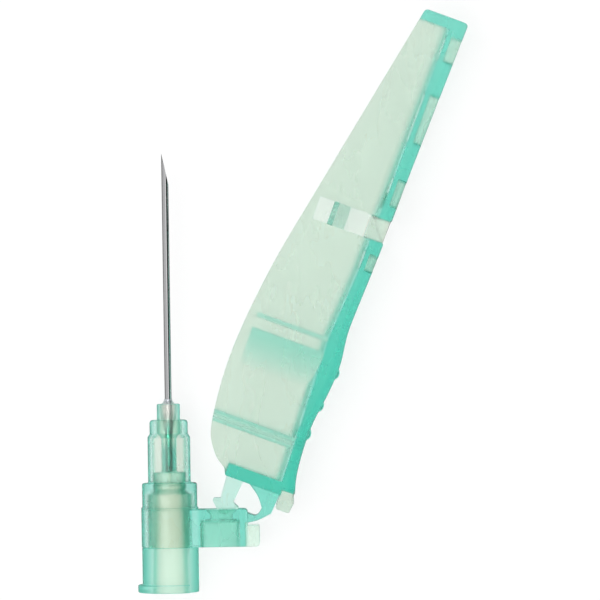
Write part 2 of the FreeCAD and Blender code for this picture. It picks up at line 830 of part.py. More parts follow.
def export_all():
    """Makes each piece and writes it as a STEP file of its own."""
    os.makedirs("parts", exist_ok=True)
    pieces = {
        "hub": make_hub,
        "cannula": make_cannula,
        "adhesive": make_adhesive,
        "collar": make_collar,
        "hinge_strap": make_strap,
        "shield": make_shield,
        "latch_pin": make_latch_pin,
    }
    for name, make in pieces.items():
        solid = make()
        solid.exportStep("parts/%s.step" % name)
        print(name, "volume %.2f mm3" % solid.Volume, "valid", solid.isValid())


export_all()
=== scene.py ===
"""Looks of a safety hypodermic needle that lies on its side, seen from straight above.

The row frame is the part's own: +Y runs along the needle to its point, +X points to the side
that carries the shield, and +Z points up. The classes of the part hold their sizes in
millimetres, and Bench.finished brings a piece to metres. Everywhere else lengths are metres,
unless a name ends in _mm.
"""

import logging
import math
from contextlib import contextmanager
from dataclasses import dataclass, field
from enum import Enum
from typing import Any, Callable, Iterator

import bpy
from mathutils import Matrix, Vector
from mathutils.geometry import interpolate_bezier

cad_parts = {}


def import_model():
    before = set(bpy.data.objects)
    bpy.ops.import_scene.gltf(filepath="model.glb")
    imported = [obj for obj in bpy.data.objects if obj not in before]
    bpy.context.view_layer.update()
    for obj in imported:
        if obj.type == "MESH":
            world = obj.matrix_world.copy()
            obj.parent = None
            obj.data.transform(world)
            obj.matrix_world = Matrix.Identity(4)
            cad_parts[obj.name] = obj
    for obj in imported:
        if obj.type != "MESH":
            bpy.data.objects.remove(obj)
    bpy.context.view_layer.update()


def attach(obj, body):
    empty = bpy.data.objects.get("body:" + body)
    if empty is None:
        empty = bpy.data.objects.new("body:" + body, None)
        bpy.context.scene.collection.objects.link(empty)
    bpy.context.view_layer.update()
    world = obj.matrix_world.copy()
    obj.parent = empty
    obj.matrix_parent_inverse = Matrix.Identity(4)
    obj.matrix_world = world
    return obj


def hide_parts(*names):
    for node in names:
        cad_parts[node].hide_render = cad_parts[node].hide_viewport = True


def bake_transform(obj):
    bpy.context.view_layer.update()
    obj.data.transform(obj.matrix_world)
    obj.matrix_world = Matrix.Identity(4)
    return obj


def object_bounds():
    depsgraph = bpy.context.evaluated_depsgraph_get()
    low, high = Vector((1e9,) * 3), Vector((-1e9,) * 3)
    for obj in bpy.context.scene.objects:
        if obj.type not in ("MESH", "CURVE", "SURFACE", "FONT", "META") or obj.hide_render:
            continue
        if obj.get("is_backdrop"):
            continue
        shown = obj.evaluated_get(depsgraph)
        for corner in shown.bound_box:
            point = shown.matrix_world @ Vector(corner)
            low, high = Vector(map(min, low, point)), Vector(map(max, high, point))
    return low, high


LOG = logging.getLogger("needle")
MM = 0.001
LAP = 0.04  # how far, in mm, a cut or a join reaches past a face that it would only touch
NEAR = 0.02  # how near, in mm, an edge lies to a face that it counts as part of

Corner = tuple[float, ...]
Triple = tuple[float, float, float]
Colour = Triple
Span = tuple[float, float]


class Body(Enum):
    """The two bodies of the part that move against each other."""

    NEEDLE = "needle_unit"
    SHIELD = "shield_unit"


class Slot(Enum):
    """The material slots of the record."""

    HUB = "hub_plastic"
    STEEL = "needle_steel"
    ADHESIVE = "clear_adhesive"
    SHIELD = "shield_plastic"


class Combine(Enum):
    """What a second solid does to a first."""

    CUT = "DIFFERENCE"
    JOIN = "UNION"
    KEEP = "INTERSECT"


class Value:
    """One output of a node tree, with arithmetic that adds the nodes it needs."""

    def __init__(self, tree: "Shader", socket: bpy.types.NodeSocket) -> None:
        """Holds an output socket of a shader.

        Args:
            tree: The shader that the socket belongs to.
            socket: The node's output.
        """
        self.tree = tree
        self.socket = socket

    def maths(self, operation: str, first: Any, second: Any) -> "Value":
        """Adds a Math node.

        Args:
            operation: Name of the Math operation.
            first: First value, a number or a Value.
            second: Second value, a number or a Value.

        Returns:
            The node's result.
        """
        return self.tree.node("ShaderNodeMath", {"operation": operation}, {0: first, 1: second})

    def __add__(self, other: Any) -> "Value":
        """Sum of two values."""
        return self.maths("ADD", self, other)

    __radd__ = __add__

    def __sub__(self, other: Any) -> "Value":
        """This value less another."""
        return self.maths("SUBTRACT", self, other)

    def __rsub__(self, other: Any) -> "Value":
        """Another value less this one."""
        return self.maths("SUBTRACT", other, self)

    def __mul__(self, other: Any) -> "Value":
        """Product of two values."""
        return self.maths("MULTIPLY", self, other)

    __rmul__ = __mul__

    def either(self, other: "Value") -> "Value":
        """The larger of two values."""
        return self.maths("MAXIMUM", self, other)

    def size(self) -> "Value":
        """The value without its sign."""
        return self.maths("ABSOLUTE", self, 0.0)

    def spread(self, low: float, high: float) -> "Value":
        """0 at or under one limit, 1 at or over another, and smooth between them.

        Args:
            low: The limit of 0.
            high: The limit of 1.

        Returns:
            The share, from 0 to 1.
        """
        return self.tree.node(
            "ShaderNodeMapRange",
            {"interpolation_type": "SMOOTHSTEP"},
            {"Value": self, "From Min": low, "From Max": high},
        )

    def past(self, edge_mm: Span) -> "Value":
        """0 before a soft edge across a place, and 1 past it, with the edge in millimetres."""
        return self.spread(edge_mm[0] * MM, edge_mm[1] * MM)


class Shader:
    """The node tree of a material or of the world."""

    def __init__(self, owner: Any) -> None:
        """Clears the owner's node tree and adds its output.

        Args:
            owner: A material or a world.
        """
        owner.use_nodes = True
        self.tree = owner.node_tree
        self.tree.nodes.clear()
        kind = "World" if isinstance(owner, bpy.types.World) else "Material"
        self.output = self.tree.nodes.new(f"ShaderNodeOutput{kind}")

    def node(
        self,
        kind: str,
        settings: dict[str, Any] | None = None,
        inputs: dict[Any, Any] | None = None,
        output: int | str = 0,
    ) -> Value:
        """Adds a node of any kind.

        Args:
            kind: The node's type name.
            settings: Properties of the node, set before its sockets. A list under
                "stops" gives the places and colours of a ramp.
            inputs: Numbers, colours or Values by socket name or number.
            output: Name or number of the output that is returned.

        Returns:
            One output of the new node.
        """
        made = self.tree.nodes.new(kind)
        for name, setting in (settings or {}).items():
            if name == "stops":
                self.set_stops(made.color_ramp, setting)
            else:
                setattr(made, name, setting)
        for name, given in (inputs or {}).items():
            if isinstance(given, Value):
                self.tree.links.new(given.socket, made.inputs[name])
            else:
                made.inputs[name].default_value = given
        return Value(self, made.outputs[output])

    @staticmethod
    def set_stops(ramp: bpy.types.ColorRamp, stops: list[tuple[float, Colour]]) -> None:
        """Gives a colour ramp its stops.

        Args:
            ramp: The ramp of a Color Ramp node.
            stops: Places from 0 to 1, each with a colour.
        """
        while len(ramp.elements) < len(stops):
            ramp.elements.new(1.0)
        for element, (place, colour) in zip(ramp.elements, stops):
            element.position = place
            element.color = opaque(colour)

    def finish(self, surface: Value, volume: Value | None = None) -> None:
        """Links the finished shaders to the output.

        Args:
            surface: Shader of the surface.
            volume: Shader of what is inside, if light passes through.
        """
        self.tree.links.new(surface.socket, self.output.inputs["Surface"])
        if volume is not None:
            self.tree.links.new(volume.socket, self.output.inputs["Volume"])

    def place(self) -> Value:
        """The point's place on its own object."""
        return self.node("ShaderNodeTexCoord", output="Object")

    def along(self, axis: str) -> Value:
        """The point's place along the X, Y or Z axis of its own object."""
        return self.node("ShaderNodeSeparateXYZ", {}, {0: self.place()}, axis)

    def noise(self, stretch: Triple, size: float, detail: float) -> Value:
        """Soft noise, from 0 to 1.

        Args:
            stretch: Length of the pattern along X, Y and Z, as multiples of its size.
            size: Size of one patch, in metres.
            detail: Number of finer layers.

        Returns:
            The noise's value.
        """
        scale = tuple(1.0 / (size * share) for share in stretch)
        point = self.node(
            "ShaderNodeMapping", {"vector_type": "POINT"}, {"Vector": self.place(), "Scale": scale}
        )
        return self.node(
            "ShaderNodeTexNoise", {}, {"Vector": point, "Scale": 1.0, "Detail": detail}
        )

    def ramp(self, amount: Value, stops: list[tuple[float, Colour]]) -> Value:
        """A colour that follows an amount.

        Args:
            amount: A value from 0 to 1.
            stops: Places from 0 to 1, each with a colour.

        Returns:
            The colour.
        """
        return self.node("ShaderNodeValToRGB", {"stops": stops}, {"Fac": amount})

    def tinted(self, share: Value, tint: Colour, other: Value) -> Value:
        """A colour that gives way to another.

        Args:
            share: How much of the other colour shows, from 0 to 1.
            tint: The colour where the share is 0.
            other: The colour where the share is 1.

        Returns:
            The mixed colour.
        """
        inputs = {0: share, 6: opaque(tint), 7: other}
        return self.node("ShaderNodeMix", {"data_type": "RGBA"}, inputs, output=2)

    def mixed(self, share: Value, first: Value, second: Value) -> Value:
        """Mixes two shaders.

        Args:
            share: How much of the second shows, from 0 to 1.
            first: Shader that shows where the share is 0.
            second: Shader that shows where it is 1.

        Returns:
            The mixed shader.
        """
        return self.node("ShaderNodeMixShader", {}, {0: share, 1: first, 2: second})

    def bump(self, height: Value, depth: float) -> Value:
        """A normal that follows a small relief.

        Args:
            height: Relief from 0 to 1.
            depth: Depth of the relief, in metres.

        Returns:
            The normal.
        """
        return self.node("ShaderNodeBump", {}, {"Height": height * depth, "Distance": 1.0})


def opaque(colour: Colour) -> tuple[float, ...]:
    """A colour with its alpha, as a node's socket takes it."""
    return (*colour, 1.0)


@dataclass(frozen=True)
class NeedleShadowCore:
    """Painted shadow in the column round the needle: a darker teal in place of the shade and dark
    reflection of the steel inside.
    """

    radius_mm: float = 1.02
    soft_share: float = 0.1
    start_y_mm: Span = (13.9, 14.2)
    end_y_mm: Span = (16.3, 18.8)
    # Colour of the painted shadow in the column.
    colour: Colour = (0.22, 0.66, 0.60)

    def outside(self, shader: Shader) -> Value:
        """0 within the core, and 1 outside it.

        Args:
            shader: The material's node tree.

        Returns:
            The mask.
        """
        x, y, z = (shader.along(axis) for axis in "XYZ")
        reach = (self.radius_mm * MM) ** 2
        near = 1 - (x * x + z * z).spread(reach * (1 - self.soft_share), reach)
        return 1 - near * y.past(self.start_y_mm) * (1 - y.past(self.end_y_mm))


@dataclass(frozen=True)
class ArmShade:
    """Painted shade on the arm beside the sleeve, whose thick plastic and recesses look darker
    than the thin tube.
    """

    start_x_mm: Span = (3.1, 3.7)
    end_x_mm: Span = (8.9, 9.2)
    # Colour of the painted shade on the arm.
    colour: Colour = (0.60, 0.84, 0.76)

    def outside(self, shader: Shader) -> Value:
        """0 within the arm up to its ears, and 1 outside it.

        Args:
            shader: The material's node tree.

        Returns:
            The mask.
        """
        x = shader.along("X")
        return 1 - x.past(self.start_x_mm) * (1 - x.past(self.end_x_mm))


@dataclass(frozen=True)
class EdgeShade:
    """Painted edge shade: faces that turn away from the eye get a darker copy of the surface, in
    place of the darker look that thick plastic and refraction give there.
    """

    colour: Colour
    share: float
    reach: Span


@dataclass(frozen=True)
class MouldedPlastic:
    """Translucent polypropylene, satin from the mould, tinted by the depth that light crosses."""

    name: str
    colour: Colour
    cloud: Colour
    tint_per_mm: float
    refraction: float
    roughness: Span = (0.20, 0.34)
    gloss: float = 0.0
    gloss_roughness: float = 0.2
    # The next two fields paint shade into the surface: a darker look on faces seen edge-on, and a
    # darker tint in one place.
    edge_shade: EdgeShade | None = None
    painted_shade: NeedleShadowCore | ArmShade | None = None
    tint: Colour = (0.0, 0.856, 0.775)
    cloud_places: Span = (0.3, 0.7)
    cloud_stretch: Triple = (1, 2.5, 1)
    cloud_size_mm: float = 3.5
    cloud_detail: float = 3.0
    grain_size_mm: float = 0.12
    grain_depth_mm: float = 0.004
    grain_detail: float = 2.0

    def shade(self, shader: Shader, cloud: Value) -> Value:
        """The surface colour, cloudy, with painted shade in one place if there is one.

        Args:
            shader: The material's node tree.
            cloud: Cloudiness from 0 to 1.

        Returns:
            The colour.
        """
        plain = shader.ramp(cloud, list(zip(self.cloud_places, (self.cloud, self.colour))))
        if self.painted_shade is None:
            return plain
        return shader.tinted(self.painted_shade.outside(shader), self.painted_shade.colour, plain)

    def add_edge_shade(self, shader: Shader, surface: Value, skin: dict[str, Any]) -> Value:
        """Mixes in painted shade on faces that turn away from the eye.

        Args:
            shader: The material's node tree.
            surface: Shader of faces that are seen square.
            skin: The sockets that made it.

        Returns:
            The mixed shader.
        """
        # A darker copy of the surface: painted shade for faces seen edge-on.
        shaded_skin = {**skin, "Base Color": opaque(self.edge_shade.colour)}
        facing = shader.node("ShaderNodeLayerWeight", {}, {"Blend": 0.5}, "Facing")
        share = facing.spread(*self.edge_shade.reach) * self.edge_shade.share
        return shader.mixed(share, surface, shader.node("ShaderNodeBsdfPrincipled", {}, shaded_skin))

    def material(self) -> bpy.types.Material:
        """Makes the material.

        Returns:
            The finished material.
        """
        made = bpy.data.materials.new(self.name)
        shader = Shader(made)
        cloud = shader.noise(self.cloud_stretch, self.cloud_size_mm * MM, self.cloud_detail)
        grain = shader.noise((1, 1, 1), self.grain_size_mm * MM, self.grain_detail)
        low, high = self.roughness
        skin = {
            "Base Color": self.shade(shader, cloud),
            "Roughness": cloud * (high - low) + low,
            "IOR": self.refraction,
            "Coat Weight": self.gloss,
            "Coat Roughness": self.gloss_roughness,
            "Transmission Weight": 1.0,
            "Normal": shader.bump(grain, self.grain_depth_mm * MM),
        }
        surface = shader.node("ShaderNodeBsdfPrincipled", {}, skin)
        if self.edge_shade is not None:
            surface = self.add_edge_shade(shader, surface, skin)
        absorbed = {"Color": opaque(self.tint), "Density": self.tint_per_mm / MM}
        shader.finish(surface, shader.node("ShaderNodeVolumeAbsorption", {}, absorbed))
        return made


@dataclass(frozen=True)
class DrawnSteel:
    """Stainless steel tube, drawn lengthwise, with a ground bevel at its point."""

    name: str
    colour: Colour = (0.62, 0.62, 0.63)
    worn: Colour = (0.52, 0.52, 0.53)
    # Painted shade: dark teal on the steel inside the hub, for the shade and green plastic around
    # it.
    hub_shade: Colour = (0.11, 0.46, 0.41)
    hub_shade_to_y_mm: Span = (19.3, 21.0)
    roughness: Span = (0.10, 0.22)
    line_places: Span = (0.35, 0.65)
    line_size_mm: float = 0.02
    line_stretch: float = 400.0
    line_depth_mm: float = 0.0006
    line_detail: float = 2.0

    def shade(self, shader: Shader, lines: Value) -> Value:
        """The surface colour, with a painted dark teal shade where the tube sits in the hub.

        Args:
            shader: The material's node tree.
            lines: The drawn lines, from 0 to 1.

        Returns:
            The colour.
        """
        plain = shader.ramp(lines, list(zip(self.line_places, (self.worn, self.colour))))
        return shader.tinted(shader.along("Y").past(self.hub_shade_to_y_mm), self.hub_shade, plain)

    def material(self) -> bpy.types.Material:
        """Makes the material.

        Returns:
            The finished material.
        """
        made = bpy.data.materials.new(self.name)
        shader = Shader(made)
        stretch = (1, self.line_stretch, 1)
        lines = shader.noise(stretch, self.line_size_mm * MM, self.line_detail)
        low, high = self.roughness
        skin = {
            "Base Color": self.shade(shader, lines),
            "Metallic": 1.0,
            "Roughness": lines * (high - low) + low,
            "Normal": shader.bump(lines, self.line_depth_mm * MM),
        }
        shader.finish(shader.node("ShaderNodeBsdfPrincipled", {}, skin))
        return made


# The darker colours given for faces seen edge-on, for the arm and for the needle's column are
# painted shade.
SHIELD_PLASTIC = MouldedPlastic(
    name="shield_plastic_satin",
    colour=(0.97, 0.905, 0.85),
    cloud=(0.94, 0.885, 0.83),
    tint_per_mm=0.31,
    refraction=1.2,
    gloss=0.3,
    edge_shade=EdgeShade(colour=(0.45, 0.70, 0.63), share=0.9, reach=(0.3, 0.9)),
)
SLEEVE_PLASTIC = MouldedPlastic(
    name="sleeve_plastic_satin",
    colour=(1.0, 0.955, 0.91),
    cloud=(0.98, 0.94, 0.89),
    tint_per_mm=0.20,
    refraction=1.16,
    gloss=0.5,
    edge_shade=EdgeShade(colour=(0.16, 0.58, 0.46), share=1.0, reach=(0.35, 0.75)),
    painted_shade=ArmShade(),
)
HUB_PLASTIC = MouldedPlastic(
    name="hub_plastic_satin",
    colour=(1.0, 0.955, 0.885),
    cloud=(0.98, 0.94, 0.865),
    tint_per_mm=0.14,
    refraction=1.16,
    roughness=(0.28, 0.42),
    gloss=0.5,
    edge_shade=EdgeShade(colour=(0.25, 0.68, 0.57), share=1.0, reach=(0.1, 0.6)),
    painted_shade=NeedleShadowCore(),
)
GLUE = MouldedPlastic(
    name="adhesive_clear",
    colour=(0.99, 0.97, 1.0),
    cloud=(0.95, 0.95, 0.99),
    tint_per_mm=0.02,
    refraction=1.35,
    roughness=(0.55, 0.7),
)
STEEL = DrawnSteel(name="needle_steel_drawn")


def rounded_line(corners: list[Corner], closed: bool = True, steps: int = 5) -> list[Vector]:
    """A line of straight runs with round corners.

    Args:
        corners: Points (x, y) in millimetres, each with a corner radius as a third number
            where the corner is round.
        closed: Whether the last point joins the first.
        steps: Number of points that each round corner gets.

    Returns:
        The points along the line.
    """
    most_of_a_run, roundness = 0.48, 0.56
    places = [Vector((corner[0], corner[1], 0.0)) for corner in corners]
    line = []
    for index, corner in enumerate(corners):
        place = places[index]
        at_end = index in (0, len(corners) - 1) and not closed
        if len(corner) < 3 or at_end:
            line.append(place)
            continue
        before = places[index - 1] - place
        after = places[(index + 1) % len(places)] - place
        half = before.angle(after) / 2
        reach = corner[2] / math.tan(half)
        start = place + before.normalized() * min(reach, before.length * most_of_a_run)
        end = place + after.normalized() * min(reach, after.length * most_of_a_run)
        handles = (start.lerp(place, roundness), end.lerp(place, roundness))
        line += interpolate_bezier(start, *handles, end, steps)
    return line


def smooth_line(points: list[Corner], steps: int = 6) -> list[Vector]:
    """A smooth line through points.

    Args:
        points: Points (x, y) in millimetres.
        steps: Number of parts that each run between two points is divided into.

    Returns:
        The points along the line, ends included.
    """
    places = [Vector((x, y, 0.0)) for x, y in points]
    slopes = []
    for index in range(len(places)):
        before = places[max(index - 1, 0)]
        after = places[min(index + 1, len(places) - 1)]
        slopes.append((after - before).normalized())
    line = [places[0]]
    for start, end, leave, arrive in zip(places, places[1:], slopes, slopes[1:]):
        third = (end - start).length / 3
        handles = (start + leave * third, end - arrive * third)
        line += interpolate_bezier(start, *handles, end, steps + 1)[1:]
    return line


def runs_along(way: Vector, axis: str, least: float = 0.9) -> bool:
    """Whether an edge runs nearly along an axis.

    Args:
        way: The edge's direction.
        axis: The axis, "x", "y" or "z".
        least: Cosine of the largest angle between them.

    Returns:
        True if it does.
    """
    return abs(getattr(way, axis)) > least


class Bench:
    """Modelling steps on one object at a time, in millimetres until it is finished."""

    TURN_STEPS = 96
    SEAM_GAP = 0.0005
    CUT_GAP = 0.004
    LAST_GAP = 0.002
    FLAT_DEG = 0.4
    SHARP_DEG = 32.0
    SMOOTH_DEG = 24.0
    CRACK_SIDES = 6
    ROUND_STEPS = 6
    SOFT_STEPS = 3

    @staticmethod
    def alone(piece: bpy.types.Object) -> None:
        """Selects one object and no other.

        Args:
            piece: The object.
        """
        bpy.ops.object.select_all(action="DESELECT")
        bpy.context.view_layer.objects.active = piece
        piece.select_set(True)

    @classmethod
    @contextmanager
    def editing(cls, piece: bpy.types.Object) -> Iterator[None]:
        """Opens a piece's mesh in edit mode, all of it selected, and closes it afterwards.

        Args:
            piece: The piece.

        Yields:
            Nothing, while the mesh is open.
        """
        cls.alone(piece)
        bpy.ops.object.mode_set(mode="EDIT")
        bpy.ops.mesh.select_all(action="SELECT")
        yield
        bpy.ops.object.mode_set(mode="OBJECT")

    @classmethod
    def lay(
        cls, piece: bpy.types.Object, place: Corner = (0, 0, 0), turn: Corner = (0, 0, 0)
    ) -> bpy.types.Object:
        """Turns a piece about the origin and moves it, in its mesh.

        Args:
            piece: The piece.
            place: Where its origin goes.
            turn: Angles about X, Y and Z, in radians.

        Returns:
            The piece.
        """
        piece.location = place
        piece.rotation_euler = turn
        cls.alone(piece)
        bpy.ops.object.transform_apply(location=True, rotation=True, scale=False)
        return piece

    @classmethod
    def drawn(cls, name: str, line: list[Vector]) -> bpy.types.Object:
        """Draws a line of edges.

        Args:
            name: The new object's name.
            line: Its points, in the drawing plane.

        Returns:
            The object.
        """
        bpy.ops.object.select_all(action="DESELECT")
        bpy.ops.mesh.primitive_plane_add(size=1.0, location=(0, 0, 0))
        piece = bpy.context.object
        piece.name = name
        with cls.editing(piece):
            bpy.ops.mesh.merge(type="CENTER")
            bpy.ops.transform.translate(value=line[0])
            for start, end in zip(line, line[1:]):
                bpy.ops.mesh.extrude_vertices_move(TRANSFORM_OT_translate={"value": end - start})
        return piece

    @classmethod
    def prism(cls, name: str, line: list[Vector], low: float, high: float) -> bpy.types.Object:
        """Makes a solid of one outline between two heights.

        Args:
            name: The new object's name.
            line: The outline, in the drawing plane.
            low: Height of its lower face.
            high: Height of its upper face.

        Returns:
            The solid.
        """
        piece = cls.drawn(name, line)
        with cls.editing(piece):
            bpy.ops.mesh.edge_face_add()
            bpy.ops.transform.translate(value=(0, 0, low))
            bpy.ops.mesh.extrude_region_move(TRANSFORM_OT_translate={"value": (0, 0, high - low)})
            bpy.ops.mesh.select_all(action="SELECT")
            bpy.ops.mesh.normals_make_consistent(inside=False)
        return piece

    @classmethod
    def across(cls, name: str, line: list[Vector], near: float, far: float) -> bpy.types.Object:
        """Makes a solid of an outline drawn as (z, y), which reaches along X.

        Args:
            name: The new object's name.
            line: The outline, as (z, y).
            near: Lower end along X.
            far: Upper end along X.

        Returns:
            The solid.
        """
        return cls.lay(cls.prism(name, line, -far, -near), turn=(0, -math.pi / 2, 0))

    @classmethod
    def block(cls, name: str, low: Corner, high: Corner) -> bpy.types.Object:
        """Makes a straight block between two opposite corners.

        Args:
            name: The new object's name.
            low: Its lowest corner.
            high: Its highest corner.

        Returns:
            The block.
        """
        corners = [(low[0], low[1]), (high[0], low[1]), (high[0], high[1]), (low[0], high[1])]
        return cls.prism(name, rounded_line(corners), low[2], high[2])

    @classmethod
    def turned(cls, name: str, line: list[Vector], steps: int = TURN_STEPS) -> bpy.types.Object:
        """Makes a body of revolution round the needle's axis.

        Args:
            name: The new object's name.
            line: Its closed section, as (radius, height).
            steps: Number of steps round.

        Returns:
            The body.
        """
        piece = cls.drawn(name, line)
        with cls.editing(piece):
            bpy.ops.mesh.edge_face_add()
            bpy.ops.mesh.delete(type="ONLY_FACE")
            bpy.ops.mesh.select_all(action="SELECT")
            bpy.ops.mesh.spin(steps=steps, angle=2 * math.pi, center=(0, 0, 0), axis=(0, 1, 0))
            bpy.ops.mesh.select_all(action="SELECT")
            bpy.ops.mesh.remove_doubles(threshold=cls.SEAM_GAP)
            bpy.ops.mesh.normals_make_consistent(inside=False)
        return piece

    @classmethod
    def combine(
        cls, piece: bpy.types.Object, tool: bpy.types.Object, how: Combine
    ) -> bpy.types.Object:
        """Joins a tool to a piece, cuts it away, or keeps what both share.

        Args:
            piece: The piece that is changed.
            tool: The solid that changes it, which is used up.
            how: What is done.

        Returns:
            The piece.
        """
        cls.alone(piece)
        modifier = piece.modifiers.new(how.value, "BOOLEAN")
        modifier.operation = how.value
        modifier.solver = "EXACT"
        modifier.object = tool
        bpy.ops.object.modifier_apply(modifier=modifier.name)
        bpy.data.objects.remove(tool)
        return piece

    @classmethod
    def round_edges(
        cls, piece: bpy.types.Object, radius: float, chosen: Callable[[Vector, Vector], bool]
    ) -> bpy.types.Object:
        """Rounds the edges that a test picks.

        Args:
            piece: The piece.
            radius: Radius of the rounding.
            chosen: Test of an edge, by its middle and its direction.

        Returns:
            The piece.
        """
        with cls.editing(piece):
            bpy.ops.mesh.select_mode(type="EDGE")
            bpy.ops.mesh.select_all(action="DESELECT")
        mesh = piece.data
        for edge in mesh.edges:
            first, second = (mesh.vertices[index].co for index in edge.vertices)
            edge.select = chosen((first + second) / 2, (second - first).normalized())
        bpy.ops.object.mode_set(mode="EDIT")
        bpy.ops.mesh.bevel(
            offset=radius, segments=cls.ROUND_STEPS, affect="EDGES", clamp_overlap=False
        )
        bpy.ops.mesh.select_mode(type="VERT")
        bpy.ops.object.mode_set(mode="OBJECT")
        return piece

    @classmethod
    def soften(cls, piece: bpy.types.Object, radius: float) -> bpy.types.Object:
        """Rounds every sharp edge a little, as a mould does.

        Args:
            piece: The piece.
            radius: Radius of the rounding.

        Returns:
            The piece.
        """
        with cls.editing(piece):
            bpy.ops.mesh.remove_doubles(threshold=cls.CUT_GAP)
            bpy.ops.mesh.dissolve_limited(angle_limit=math.radians(cls.FLAT_DEG))
        modifier = piece.modifiers.new("soft edges", "BEVEL")
        modifier.width = radius
        modifier.segments = cls.SOFT_STEPS
        modifier.limit_method = "ANGLE"
        modifier.angle_limit = math.radians(cls.SHARP_DEG)
        modifier.use_clamp_overlap = False
        bpy.ops.object.modifier_apply(modifier=modifier.name)
        return piece

    @classmethod
    def mirrored(cls, piece: bpy.types.Object) -> bpy.types.Object:
        """Makes a copy of a piece on the other side of the plane that halves the part.

        Args:
            piece: The piece.

        Returns:
            The copy, with its own mesh.
        """
        other = piece.copy()
        other.data = piece.data.copy()
        bpy.context.scene.collection.objects.link(other)
        cls.alone(other)
        other.scale = (1, 1, -1)
        bpy.ops.object.transform_apply(location=False, rotation=False, scale=True)
        with cls.editing(other):
            bpy.ops.mesh.normals_make_consistent(inside=False)
        return other

    @classmethod
    def finished(cls, piece: bpy.types.Object, material: bpy.types.Material) -> bpy.types.Object:
        """Closes a piece's last cracks, brings it to metres and gives it its material.

        Args:
            piece: The piece, in millimetres.
            material: Its material.

        Returns:
            The piece.
        """
        with cls.editing(piece):
            bpy.ops.mesh.remove_doubles(threshold=cls.LAST_GAP)
            bpy.ops.mesh.fill_holes(sides=cls.CRACK_SIDES)
        piece.scale = (MM, MM, MM)
        bpy.ops.object.transform_apply(location=True, rotation=True, scale=True)
        bpy.ops.object.shade_smooth_by_angle(angle=math.radians(cls.SMOOTH_DEG))
        piece.data.materials.clear()
        piece.data.materials.append(material)
        LOG.info("built %s with %d faces", piece.name, len(piece.data.polygons))
        return piece


@dataclass
class Needle:
    """The steel tube, ground to a bevel with two lancet facets."""

    radius: float = 0.41
    bore: float = 0.255
    foot_y: float = 14.25
    point_y: float = 52.3
    bevel_deg: float = 12.0
    lancet_deg: float = 18.0
    lancet_turn_deg: float = 35.0
    edge: float = 0.02
    wheel: float = 5.0

    def grinding_wheel(self, lean_deg: float, turn_deg: float) -> bpy.types.Object:
        """A block whose face leans over the tube at its point, as a grinding wheel's does.

        Args:
            lean_deg: How far the face leans from the tube.
            turn_deg: How far the tube is turned about itself as it meets the wheel.

        Returns:
            The block.
        """
        size = self.wheel
        wheel = Bench.block("wheel", (0, -3 * size, -size), (2 * size, 3 * size, size))
        Bench.lay(wheel, turn=(0, 0, math.radians(lean_deg)))
        point = (-self.radius, self.point_y, 0)
        return Bench.lay(wheel, point, turn=(0, math.radians(turn_deg), 0))

    def build(self, material: bpy.types.Material) -> bpy.types.Object:
        """Makes the tube.

        Args:
            material: Its finish.

        Returns:
            The piece.
        """
        section = rounded_line(
            [
                (self.bore, self.foot_y, self.edge),
                (self.radius, self.foot_y, self.edge),
                (self.radius, self.point_y),
                (self.bore, self.point_y),
            ],
            steps=3,
        )
        tube = Bench.turned("cannula_tube", section, steps=64)
        for lean_deg, turn_deg in (
            (self.bevel_deg, 0.0),
            (self.lancet_deg, -self.lancet_turn_deg),
            (self.lancet_deg, self.lancet_turn_deg),
        ):
            Bench.combine(tube, self.grinding_wheel(lean_deg, turn_deg), Combine.CUT)
        return Bench.finished(tube, material)


